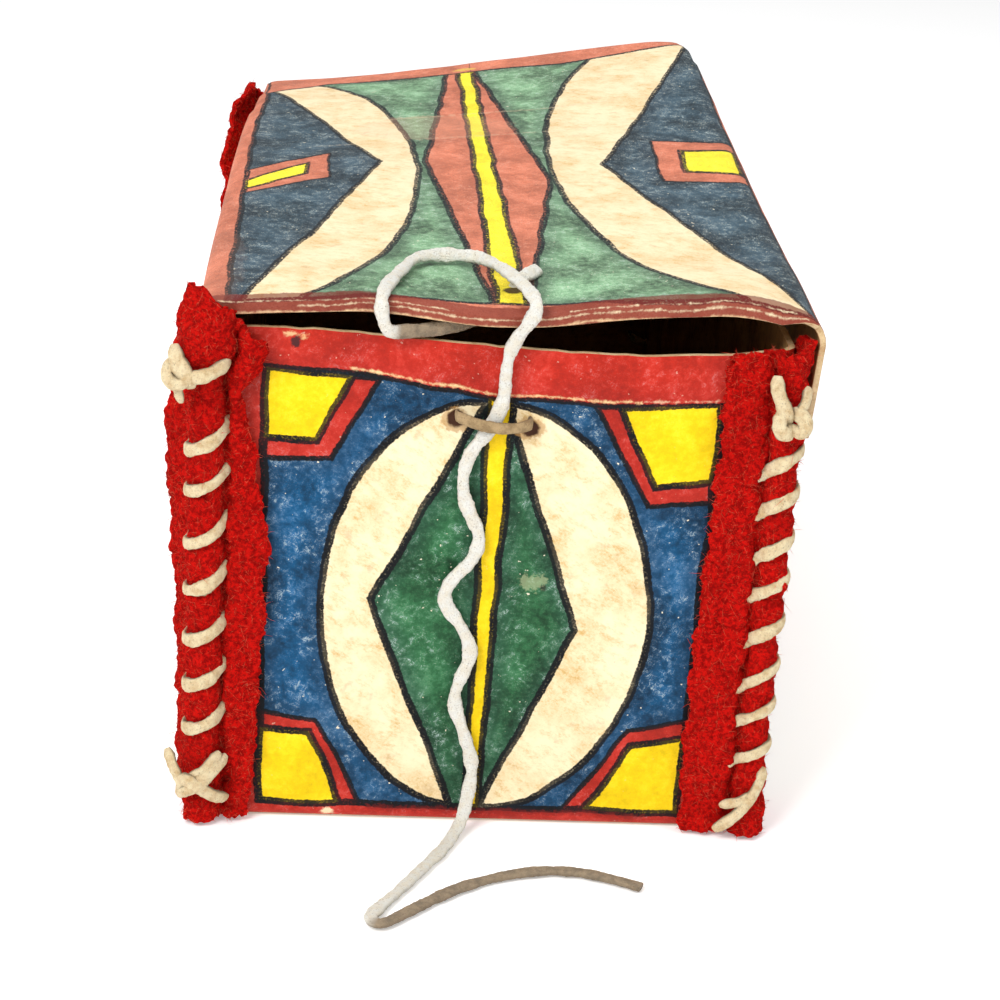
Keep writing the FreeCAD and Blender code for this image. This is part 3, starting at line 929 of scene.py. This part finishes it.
# rawhide lid: a flat blank with its corners cut out, folded and warped
lidShape = {"columns": 110, "rows": 112, "frontEdge": -186.0, "backEdge": 183.0, "lipDepth": 6.4,
            "flapDepth": 41.0,
            "leftBend": 6.0, "rightBend": 9.0, "lipBend": 2.6, "backBend": 4.0, "curtainFoot": 176.5,
            "curtain": 48.0,
            "leftFlap": (-163.0, 106.0), "rightFlap": (-186.0, 148.0)}
stationY = [-250, -186, -95, 0, 95, 183, 250]
leftEdge = [-103.0, -103.0, -103.0, -103.0, -102.0, -98.0, -96.0]
rightEdge = [106.8, 106.8, 106.8, 106.6, 106.0, 103.0, 101.0]
leftHeight = [195.0, 195.0, 195.0, 195.0, 193.5, 187.6, 183.0]
rightHeight = [195.0, 196.0, 198.5, 204.0, 211.0, 223.0, 232.0]
frontWaveX = [-104, -89, -69, -43, -23, -3, 17, 49, 80, 99, 107]
frontWave = [-1.5, -0.6, 1.4, 2.2, -0.2, -2.2, -0.5, 5.0, 6.6, 1.8, -2.5]


def smoothInterp(x, xs, ys, spreadBy):
    return sum(np.interp(x + k * spreadBy, xs, ys) for k in (-1, -0.5, 0, 0.5, 1)) / 5


def lidHeight(x, y):
    low = smoothInterp(y, stationY, leftHeight, 30)
    high = smoothInterp(y, stationY, rightHeight, 30)
    share = min(1, max(0, (x + 103.5) / 211))
    fade = min(1, max(0, (y + 186) / 75))
    wave = smoothInterp(x, frontWaveX, frontWave, 9) * (1 - fade) ** 2 * (1 + 2 * fade)
    ripple = roam(x / 60, y / 80, 1.3) * 1.6 * min(1, (y + 186) / 60)
    return low + (high - low) * share ** 1.1 + wave + ripple


def bendOver(beyond, radius):
    # how far out and how far down the hide has gone, past the start of a bend
    if beyond <= 0:
        return beyond, 0.0
    if beyond < radius * math.pi / 2:
        turn = beyond / radius
        return radius * math.sin(turn), radius * (1 - math.cos(turn))
    return radius, radius + beyond - radius * math.pi / 2


def foldBlank(u, v, shape):
    y, x, drop = v, u, 0.0
    edgeL = np.interp(v, stationY, leftEdge)
    edgeR = np.interp(v, stationY, rightEdge)
    if v < shape["frontEdge"] + shape["lipBend"]:           # the lip fades out into the flaps' cut edges
        lip = min(1, max(0, (u - edgeL) / 12), max(0, (edgeR - 2 - u) / 14))
        beyond = shape["frontEdge"] + shape["lipBend"] - v
        whole = shape["lipBend"] + shape["lipDepth"] - 2
        out, fallen = bendOver(beyond * (1 + 0.2 * max(0, min(1, u / 60))), shape["lipBend"])
        out = out * lip + beyond * shape["lipBend"] / whole * (1 - lip)
        y = shape["frontEdge"] + shape["lipBend"] - out
        drop += fallen * lip
    if u < edgeL + shape["leftBend"]:
        out, fallen = bendOver(edgeL + shape["leftBend"] - u, shape["leftBend"])
        x = edgeL + shape["leftBend"] - out
        drop += fallen
        x -= 0.03 * max(0, fallen - shape["leftBend"])       # the left flap stands out a little
    if u > edgeR - shape["rightBend"]:
        out, fallen = bendOver(u - edgeR + shape["rightBend"], shape["rightBend"])
        x = edgeR - shape["rightBend"] + out
        drop += fallen
        x -= 0.07 * max(0, fallen - shape["rightBend"])      # the right flap leans in
    height = lidHeight(max(edgeL, min(edgeR, x)), max(-186, min(183, y)))
    if u > edgeR - 22 and v > 160:          # the far right corner is rounded down
        height -= 5.5 * min(1, (u - edgeR + 22) / 22) ** 2 * min(1, (v - 160) / 23) ** 2
    if v > shape["backEdge"] - shape["backBend"]:
        beyond = v - shape["backEdge"] + shape["backBend"]
        span = height - shape["curtainFoot"]
        out, fallen = bendOver(min(beyond, shape["curtain"]), shape["backBend"])
        y = shape["backEdge"] - shape["backBend"] + out
        reach = shape["backBend"] + shape["curtain"] - shape["backBend"] * math.pi / 2
        if fallen > shape["backBend"]:
            stretch = (span - shape["backBend"]) / (reach - shape["backBend"])
            fallen = shape["backBend"] + (fallen - shape["backBend"]) * stretch
        drop = fallen
    return x, y, height - drop


def addLid(shape):
    deselectAll()
    uLow = leftEdge[0] - shape["flapDepth"] + 3
    uHigh = rightEdge[0] + shape["flapDepth"] - 2
    vLow = shape["frontEdge"] - shape["lipDepth"] + 2
    vHigh = shape["backEdge"] + 44.0
    bpy.ops.mesh.primitive_grid_add(x_subdivisions=shape["columns"], y_subdivisions=shape["rows"], size=1,
                                    location=((uLow + uHigh) / 2 * mm, (vLow + vHigh) / 2 * mm, 0))
    piece = bpy.context.object
    piece.scale = ((uHigh - uLow) * mm, (vHigh - vLow) * mm, 1)
    bpy.ops.object.transform_apply(location=True, rotation=True, scale=True)
    clearMeshSelection()
    for face in piece.data.polygons:
        u, v = face.center.x * 1000, face.center.y * 1000
        edgeL = np.interp(v, stationY, leftEdge)
        edgeR = np.interp(v, stationY, rightEdge)
        overLeft = u < edgeL + 1.5 and not shape["leftFlap"][0] < v < shape["leftFlap"][1]
        overRight = u > edgeR - 2.0 and not shape["rightFlap"][0] < v < shape["rightFlap"][1]
        face.select = bool(overLeft or overRight)
    toMode("EDIT")
    bpy.ops.mesh.delete(type="FACE")
    toMode("OBJECT")
    uv = blankMap(piece)
    flat = vertexArray(piece)
    for loop in piece.data.loops:
        uv.data[loop.index].uv = flat[loop.vertex_index][:2]
    folded = np.array([foldBlank(p[0] * 1000, p[1] * 1000, shape) for p in flat]) * mm
    for p in folded:
        p[2] += noiseAt(*p, 0.02, 4.0) * 0.00035
    setVertices(piece, folded)
    for paint in (lidPaint, cutEdge, insideHide):
        piece.data.materials.append(paint)
    applyModifier(piece, "SOLIDIFY", thickness=hideThick, offset=-1, material_offset=2,
                  material_offset_rim=1)
    applyModifier(piece, "BEVEL", width=0.0004, segments=2, limit_method="ANGLE",
                  angle_limit=math.radians(60))
    shadeSmooth(piece, 35)
    piece.name = "rawhide_lid"
    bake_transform(piece)
    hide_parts("hide_lid")
    print("lid made")
    return piece


addLid(lidShape)


# wool strips
stripSet = {"length": 0.185, "thick": 0.0022, "columns": 88, "rows": 240, "wallTop": 181}
corners = {
    "front_left": {
        "side": -1, "end": -1, "stitches": (149.0, 17.8, 7), "roll": 5.6, "rollOut": (1.7, 2.4),
        "seed": 2.0, "sideWing": 22.0,
        "swell": [(0, 0.9), (150, 0.9), (163, 0.86), (169, 0.82), (177, 1.45), (186, 1.6), (198, 1.35)],
        "wing": [(0, 14), (20, 16.5), (60, 18), (100, 19.2), (116, 18.8), (134, 15), (152, 11.5),
            (164, 10.5), (171, 15.5), (177, 18.4), (181, 17.6), (187, 12), (200, 9)],
        "puff": [(0, 2.0), (120, 2.2), (158, 2.6), (172, 5.5), (190, 5.5)],
        "splay": [(0, 9), (84, 11), (129, 14.5), (165, 12.5), (190, 8), (205, 6)], "clear": (6.8, 4.6),
        "tops": [(0, 180), (0.12, 184.5), (0.2, 187.5), (0.28, 189.5), (0.36, 192.5), (0.42, 195.5),
            (0.46, 199.5), (0.53, 200.5), (0.57, 197), (0.62, 192.5), (0.67, 189), (0.8, 186),
            (0.9, 184), (1, 181)],
    },
    "front_right": {
        "side": 1, "end": -1, "stitches": (146.0, 16.0, 8), "roll": 4.2, "rollOut": (-0.9, 1.6),
        "seed": 5.0, "sideWing": 22.0,
        "swell": [(0, 1.3), (14, 1.1), (30, 1.0), (176, 1.0), (184, 1.3)],
        "wing": [(0, 24.0), (30, 26), (54, 25.3), (77, 25.2), (108, 24.1), (130, 23.1), (163, 23.4),
            (175, 23.4), (181, 22.6), (184, 21), (190, 19)],
        "puff": [(0, 2.0), (40, 2.6), (90, 1.6), (150, 2.2), (190, 2.0)],
        "splay": [(0, 2.6), (120, 1.6), (190, 1.6)], "clear": None,
        "tops": [(0, 181.6), (0.12, 183.6), (0.3, 184.2), (0.42, 184.2), (0.5, 185.5), (0.57, 187.8),
            (0.66, 187.6), (0.74, 184), (0.85, 181), (1, 179)],
    },
    "back_left": {
        "side": -1, "end": 1, "stitches": (149.0, 17.8, 7), "roll": 5.4, "rollOut": (1.5, 2.2),
        "seed": 8.0, "sideWing": 23.0,
        "swell": [(0, 1.0), (165, 1.0), (180, 1.2), (190, 1.0)],
        "wing": [(0, 15), (60, 16), (120, 15), (190, 16)],
        "puff": [(0, 2.5), (190, 2.5)],
        "splay": [(0, 9), (84, 11), (129, 16), (150, 15.5), (175, 12.5), (192, 9)], "clear": (3.0, 3.0),
        "tops": [(0, 174), (0.25, 178), (0.4, 183), (0.5, 186.5), (0.65, 188.5), (0.8, 188), (0.92, 186),
            (1, 183)],
    },
    "back_right": {
        "side": 1, "end": 1, "stitches": (146.0, 16.0, 8), "roll": 4.2, "rollOut": (-0.9, 1.6),
        "seed": 11.0, "sideWing": 22.0,
        "swell": [(0, 1.2), (30, 1.0), (190, 1.0)],
        "wing": [(0, 22), (60, 23), (120, 24), (190, 21)],
        "puff": [(0, 2.0), (190, 2.0)],
        "splay": [(0, 2.6), (120, 1.6), (190, 1.6)], "clear": None,
        "tops": [(0, 173), (0.35, 176), (0.6, 180), (0.8, 181), (1, 179)],
    },
}


def stripProfile(corner, z):
    # the strip in plan, in mm from the hide's corner: outward past the side, then past the end
    seed = corner["seed"]
    pinch = 0.0
    first, pitch, count = corner["stitches"]
    for k in range(count):
        gap = z - (first - k * pitch - 3)
        pinch = max(pinch, math.exp(-(gap / 2.6) ** 2))
    radius = corner["roll"] * (1.05 - 0.16 * pinch) * along(corner["swell"], z)
    radius += 0.6 * roam(z / 14, seed, 0)
    cx, cy = corner["rollOut"]
    wing = along(corner["wing"], z) + 1.3 * roam(z / 9, seed, 4)
    wing += 0.9 * roam(z / 2.6, seed, 9) + 0.7 * roam(z / 1.1, seed, 6)
    puff = along(corner["puff"], z) * (1 + 0.5 * roam(z / 20, seed, 7))
    valley = cx - radius - 0.6
    points = [(-wing, 1.5 + puff * 0.35), (-wing + 1.5, 1.4 + puff * 0.8), (valley - 5.6, 1.5 + puff * 1.2),
              (valley - 3.6, 1.6 + puff * 1.1), (valley - 2.2, 1.4), (valley - 1.2, 1.0),
              (valley - 0.2, 1.0)]
    for angle in (185, 160, 135, 110, 85, 60, 35, 10, -15, -40, -60):
        turn = math.radians(angle)
        points.append((cx + radius * math.cos(turn), cy + radius * math.sin(turn)))
    splay = along(corner["splay"], z) * (1 + 0.2 * roam(z / 15, seed, 2))
    sideWing = corner["sideWing"] + 1.3 * roam(z / 8, seed, 3) + 0.8 * roam(z / 1.4, seed, 8)
    points += [(1.9 + splay * 0.25, -8.5), (1.9 + splay * 0.65, -15.0), (1.9 + splay, -sideWing)]
    return np.array(points)


def stripHeight(share, corner):
    top = along(corner["tops"], share)
    top += 1.3 * roam(share * 14, corner["seed"], 0) + 1.4 * roam(share * 48, corner["seed"], 0)
    foot = 1.7 + 1.0 * roam(share * 16, corner["seed"], 5) + 0.9 * roam(share * 50, corner["seed"], 5)
    return foot, top


def addStrip(name, corner):
    deselectAll()
    bpy.ops.mesh.primitive_grid_add(x_subdivisions=stripSet["columns"], y_subdivisions=stripSet["rows"],
                                    size=1)
    piece = bpy.context.object
    points = vertexArray(piece)
    for p in points:
        across, rise = p[0] + 0.5, p[1] + 0.5
        foot, top = stripHeight(across, corner)
        z = foot + rise * (top - foot)
        profile = stripProfile(corner, z)
        steps = lengthsAlong(profile)
        at = across * steps[-1]
        out = smoothInterp(at, steps, profile[:, 0], 0.9)
        ahead = smoothInterp(at, steps, profile[:, 1], 0.9)
        if corner["clear"] and z > stripSet["wallTop"]:         # there it stays outside the lid's corner
            share = min(1, (z - stripSet["wallTop"]) / 5)
            clearOut, clearAhead = (v * share for v in corner["clear"])
            if out - clearOut < 0 and ahead < clearAhead:
                if out > -2 and ahead < 0:
                    out = clearOut
                else:
                    ahead = clearAhead
        p[0] = corner["side"] * (halfWidth + out * mm)
        p[1] = corner["end"] * (halfDepth + ahead * mm)
        p[2] = z * mm
        bump = noiseAt(*p, 0.0065, corner["seed"]) * 0.0013 + noiseAt(*p, 0.0021, 3.0) * 0.0008
        p[0] += corner["side"] * bump
        p[1] += corner["end"] * bump
    setVertices(piece, points)
    makeActive(piece)
    if corner["side"] * corner["end"] < 0:
        toMode("EDIT")
        bpy.ops.mesh.select_all(action="SELECT")
        bpy.ops.mesh.flip_normals()
        toMode("OBJECT")
    applyModifier(piece, "SOLIDIFY", thickness=stripSet["thick"], offset=0)
    applyModifier(piece, "BEVEL", width=0.0005, segments=2, limit_method="ANGLE",
                  angle_limit=math.radians(60))
    outwardNormals(piece)
    shadeSmooth(piece, 60)
    piece.name = f"wool_strip_{name}"
    piece.data.materials.append(woolRed)
    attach(piece, "box")
    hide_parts(f"cloth_{name}")
    nap = addNap(name, piece, corner)
    return piece


napSet = {"count": 7600, "length": (0.0012, 0.0036), "radius": 0.0001, "rise": 0.32}


def addNap(name, cloth, corner):
    # loose fibres standing off the cloth, each a bent three-sided spike closed at both ends
    pick = random.Random(int(corner["seed"] * 10))
    faces = cloth.data.polygons
    points, sides = [], []
    for _ in range(napSet["count"]):
        face = faces[pick.randrange(len(faces))]
        lean = Vector((pick.gauss(0, 1), pick.gauss(0, 1), pick.gauss(0, 1))).normalized()
        lean -= face.normal * lean.dot(face.normal)
        rise = napSet["rise"] * (1 + pick.random() ** 3 * 3)
        grow = (face.normal * rise + lean.normalized()).normalized()
        size = pick.uniform(*napSet["length"]) * (0.5 + 1.1 * pick.random() ** 3)
        curl = Vector((pick.gauss(0, 1), pick.gauss(0, 1), pick.gauss(0, 1) - 0.3)) * size * 0.35
        first = grow.orthogonal().normalized() * napSet["radius"]
        second = grow.cross(first)
        base = len(points)
        for s in (-0.1, 0.35, 0.7):
            spot = face.center + grow * size * s + curl * s * s
            spot.z = max(spot.z, 0.0004)
            thin = 1 - 0.5 * max(0, s)
            for turn in (0, 2.094, 4.189):      # thirds of a turn
                points.append((spot + (first * math.cos(turn) + second * math.sin(turn)) * thin)[:])
        tip = face.center + grow * size + curl
        points.append((tip.x, tip.y, max(tip.z, 0.0004)))
        sides.append((base + 2, base + 1, base))
        for ring in (0, 3):
            for k in range(3):
                m = (k + 1) % 3
                sides.append((base + ring + k, base + ring + m, base + ring + 3 + m, base + ring + 3 + k))
        for k in range(3):
            sides.append((base + 6 + k, base + 6 + (k + 1) % 3, base + 9))
    piece = newPiece(f"wool_nap_{name}", points, sides)
    piece.data.materials.append(napRed)
    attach(piece, "box")
    return piece


for cornerName, cornerSet in corners.items():
    addStrip(cornerName, cornerSet)


# lacing
lace = {"width": 0.0043, "thick": 0.0022, "proud": 2.1}


def laceRoute(corner, turn, jitter):
    # one outside stitch in mm from the hide's corner, from the end wall round to the side wall
    first, pitch, _ = corner["stitches"]
    top = first + 2.0 - turn * pitch + jitter.uniform(-1.2, 1.2)
    fall = 8.5 + jitter.uniform(-1.4, 1.4)
    if corner["side"] > 0:
        top, fall = top - fall * 0.8, -fall       # on the right it rises towards the side
    radius = corner["roll"] * 0.93 * along(corner["swell"], top) + lace["proud"]
    cx, cy = corner["rollOut"]
    puff = along(corner["puff"], top)
    valley = cx - radius + 1.0
    spots = [(valley - 3.4, -5.0, -0.3, (0, 1)), (valley - 3.0, 1.0, -0.25, (0, 1)),
             (valley - 0.6, cy + 0.6, 0.0, (-0.5, 1))]
    for angle, share in ((132, 0.28), (104, 0.5), (74, 0.7), (42, 0.86), (8, 0.95), (-30, 1.0)):
        turnBy = math.radians(angle)
        spots.append((cx + radius * math.cos(turnBy), cy + radius * math.sin(turnBy), share,
                      (math.cos(turnBy), math.sin(turnBy))))
    reach = 1.9 + along(corner["splay"], top) * 0.25
    if corner["side"] > 0:
        spots[0] = (valley - 3.4 - puff, -5.0, -0.3, (0, 1))
        spots[1] = (valley - 3.0 - puff, 2.5 + puff, -0.25, (0, 1))
    spots += [(reach + 1.3, -8.0, 1.0, (1, 0)), (0.5, -9.5, 1.0, (1, 0)), (-5.0, -9.5, 1.0, (1, 0))]
    route = []
    for out, ahead, share, (nx, ny) in spots:
        place = (corner["side"] * (halfWidth + out * mm), corner["end"] * (halfDepth + ahead * mm),
                 (top - fall * share) * mm)
        facing = Vector((corner["side"] * nx, corner["end"] * ny, 0))
        route.append((place, facing))
    return route


def insideRoute(start, end, corner):
    # the straight stretch inside, from one side hole down to the next end hole
    inward = Vector((-corner["side"], -corner["end"], 0)).normalized()
    a, b = Vector(start), Vector(end)
    middle = (a + b) / 2 + inward * 0.0004
    return [(a, inward), (middle, inward), (b, inward)]


def knotStrand(centre, spots, corner, name, seed, width):
    # a short strand on the end wall, in mm across, out and up from the knot's middle
    route = []
    for across, out, rise in spots:
        place = Vector(centre) + Vector((across, corner["end"] * out, rise)) * mm
        route.append((place, Vector((across * 0.05, corner["end"], rise * 0.02))))
    line, facing = thongRings(route, 8)
    return sweepThong(name, line, facing, width, width * 0.72, seed, sides=14, rough=0.14, taper=0.45)


wrapKnot = [
    (0.0056, [(-4.8, -1.0, 8.5), (-4.6, 1.4, 6.0), (-2.6, 3.0, 2.0), (0.2, 3.2, -2.0), (0.8, 1.0, -5.0)]),
    (0.0046, [(-4.4, -1.0, 3.6), (-7.4, 1.6, 1.8), (-6.8, 4.2, -2.2), (-2.6, 4.8, -3.8), (0.4, 2.6, -2.0)]),
    (0.0046, [(-0.4, 1.8, -1.6), (3.0, 4.4, -0.8), (7.4, 3.6, 0.6), (11.0, 1.0, 2.4), (12.6, -3.0, 3.2)]),
    (0.0036, [(-3.4, 1.4, -3.0), (-3.6, 2.6, -5.6), (-3.0, 1.6, -8.4), (-2.4, 0.8, -10.6)]),
]
crossKnot = [
    (0.0038, [(-9.4, -2.4, 11.4), (-7.6, 0.6, 7.4), (-5.4, 2.2, 3.4), (-3.8, 3.0, -0.6),
              (-4.4, 1.6, -5.4)]),
    (0.0046, [(11.0, -3.6, 8.6), (8.0, 1.6, 6.2), (3.8, 4.2, 2.6), (-0.6, 5.4, -0.8), (-5.0, 2.6, -3.6)]),
    (0.0046, [(11.6, -2.6, -7.4), (8.4, 2.0, -5.2), (4.2, 4.0, -1.8), (0.6, 5.8, 2.0), (-3.4, 4.2, 3.4),
              (-4.6, 1.6, 0.0)]),
    (0.0040, [(9.0, -1.6, 10.8), (6.4, 1.8, 8.2), (2.4, 3.4, 4.8), (-1.6, 3.2, 2.2)]),
]
earKnot = [
    (0.0056, [(-6.0, 0.6, 14.0), (-6.4, 2.2, 10.6), (-4.4, 3.2, 6.0), (-2.4, 3.4, 1.6), (-1.2, 1.4, -2.0)]),
    (0.0056, [(-1.4, 1.0, 2.4), (-4.4, 3.2, 1.0), (-4.6, 5.0, -3.6), (-1.4, 4.6, -5.4), (0.2, 1.6, -3.2)]),
    (0.0054, [(0.2, 1.0, 2.0), (3.0, 3.4, 1.6), (4.6, 4.8, -2.2), (2.4, 5.0, -4.8), (0.2, 1.8, -3.2)]),
    (0.0038, [(1.2, 1.4, 0.0), (3.2, 2.6, 3.6), (4.4, 1.2, 7.0), (5.0, -2.0, 9.6)]),
]
slantStitch = [
    (0.0042, [(8.6, -3.5, 14.0), (7.0, 0.8, 9.0), (2.6, 2.4, 1.5), (-2.6, 2.0, -5.4), (-7.8, 0.6, -9.6)]),
    (0.0036, [(-6.0, -0.6, -0.4), (-3.4, 1.4, 1.6), (0.6, 2.6, 3.0), (3.8, 1.2, 5.4)]),
]
cornerKnots = {
    "front_left": [((-104.6, -192.4, 171.0), wrapKnot), ((-101.8, -191.8, 18.5), crossKnot)],
    "front_right": [((96.5, -190.2, 163.0), earKnot), ((92.5, -190.0, 13.8), slantStitch)],
    "back_left": [((-103.6, 191.6, 169.0), wrapKnot), ((-101.8, 191.4, 18.5), crossKnot)],
    "back_right": [((94.5, 190.0, 162.0), earKnot), ((92.5, 189.8, 14.8), slantStitch)],
}


def addLacing(name, corner):
    jitter = random.Random(int(corner["seed"] * 7))
    parts = []
    before = None
    for turn in range(corner["stitches"][2]):
        route = laceRoute(corner, turn, jitter)
        line, facing = thongRings(route, 6)
        wide = lace["width"] * jitter.uniform(0.9, 1.2)
        parts.append(sweepThong(f"stitch{turn}", line, facing, wide, lace["thick"], turn + corner["seed"],
                                rough=0.16))
        first, last = route[0][0], route[-1][0]
        if before is not None:
            a, b = (before, first) if corner["side"] < 0 else (before, last)
            line, facing = thongRings(insideRoute(a, b, corner), 6)
            parts.append(sweepThong(f"inside{turn}", line, facing, lace["width"], lace["thick"], turn,
                                    rough=0.06))
        before = last if corner["side"] < 0 else first
    for k, (centre, strands) in enumerate(cornerKnots[name]):
        for s, (width, spots) in enumerate(strands):
            parts.append(knotStrand(Vector(centre) * mm, spots, corner, f"knot{k}{s}",
                                    k * 5 + s + corner["seed"], width))
    piece = joinPieces(parts, f"hide_lacing_{name}")
    addSuede(piece)
    piece.data.materials.clear()
    piece.data.materials.append(laceHide)
    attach(piece, "box")
    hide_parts(f"lacing_{name}")
    return piece


for cornerName, cornerSet in corners.items():
    addLacing(cornerName, cornerSet)
print("lacing made")


# loop thong
loopSet = {"width": 0.0040, "thick": 0.0016, "seed": 9, "knot": 0.0028}
loopRoute = [
    ((-0.0150, -0.1768, 0.1560), back), ((-0.0150, -0.1815, 0.1560), left),
    ((-0.0158, -0.1860, 0.1566), front + left * 0.4),
    ((-0.0130, -0.1876, 0.1562), front), ((-0.0085, -0.1884, 0.1548), front),
    ((-0.0035, -0.1888, 0.1540), front),
    ((0.0020, -0.1888, 0.1538), front), ((0.0065, -0.1878, 0.1542), front),
    ((0.0098, -0.1862, 0.1548), front - left * 0.4),
    ((0.0090, -0.1815, 0.1545), -left), ((0.0090, -0.1768, 0.1545), back),
]


def addLoop(route):
    line, facing = thongRings(route, 8)
    parts = [sweepThong("loop", line, facing, loopSet["width"], loopSet["thick"], loopSet["seed"],
                        rough=0.12)]
    for k, centre in enumerate((route[0][0], route[-1][0])):
        for s, (width, spots) in enumerate(crossKnot[1:3]):
            shrunk = [(a * 0.4, o * 0.5, r * 0.4) for a, o, r in spots]
            parts.append(knotStrand(Vector(centre) + back * hideThick, shrunk, {"end": 1},
                                    f"loopKnot{k}{s}",
                                    20 + k + s, loopSet["knot"]))
    piece = joinPieces(parts, "front_loop")
    suede = np.full(len(piece.data.vertices), 0.75, np.float32)
    addSuede(piece, suede)
    piece.data.materials.clear()
    piece.data.materials.append(laceHide)
    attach(piece, "box")
    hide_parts("loop_thong")
    print("loop made")


addLoop(loopRoute)


# floor and light
def addFloor():
    deselectAll()
    bpy.ops.mesh.primitive_plane_add(size=14, location=(0, 0, -0.0002))
    floor = bpy.context.object
    floor.name = "floor"
    material, tree, shader = newMaterial("studio_floor")
    setShader(shader, colour=(0.97, 0.97, 0.97, 1), rough=0.9, gloss=0.0, glow=0.24, glowTint=(1, 1, 1, 1))
    floor.data.materials.append(material)


def addLight(name, place, aim, size, power):
    data = bpy.data.lights.new(name, "AREA")
    data.size = size
    data.energy = power
    lamp = bpy.data.objects.new(name, data)
    bpy.context.collection.objects.link(lamp)
    lamp.location = place
    lamp.rotation_euler = (Vector(aim) - Vector(place)).to_track_quat("-Z", "Y").to_euler()


def addWorld(strength):
    world = bpy.data.worlds.new("studio")
    bpy.context.scene.world = world
    world.use_nodes = True
    world.node_tree.nodes["Background"].inputs["Color"].default_value = (1, 1, 1, 1)
    world.node_tree.nodes["Background"].inputs["Strength"].default_value = strength


addFloor()
addWorld(0.52)
addLight("key", (-1.0, -1.3, 1.5), (0, 0, 0.08), 0.9, 34)
addLight("fill", (1.4, -1.0, 1.2), (0, 0, 0.08), 1.2, 9)
addLight("top", (0.1, 0.3, 2.0), (0, 0, 0.1), 1.2, 13)
bpy.context.scene.view_settings.view_transform = "Standard"
bpy.context.scene.view_settings.exposure = -0.05
print("stage ready")
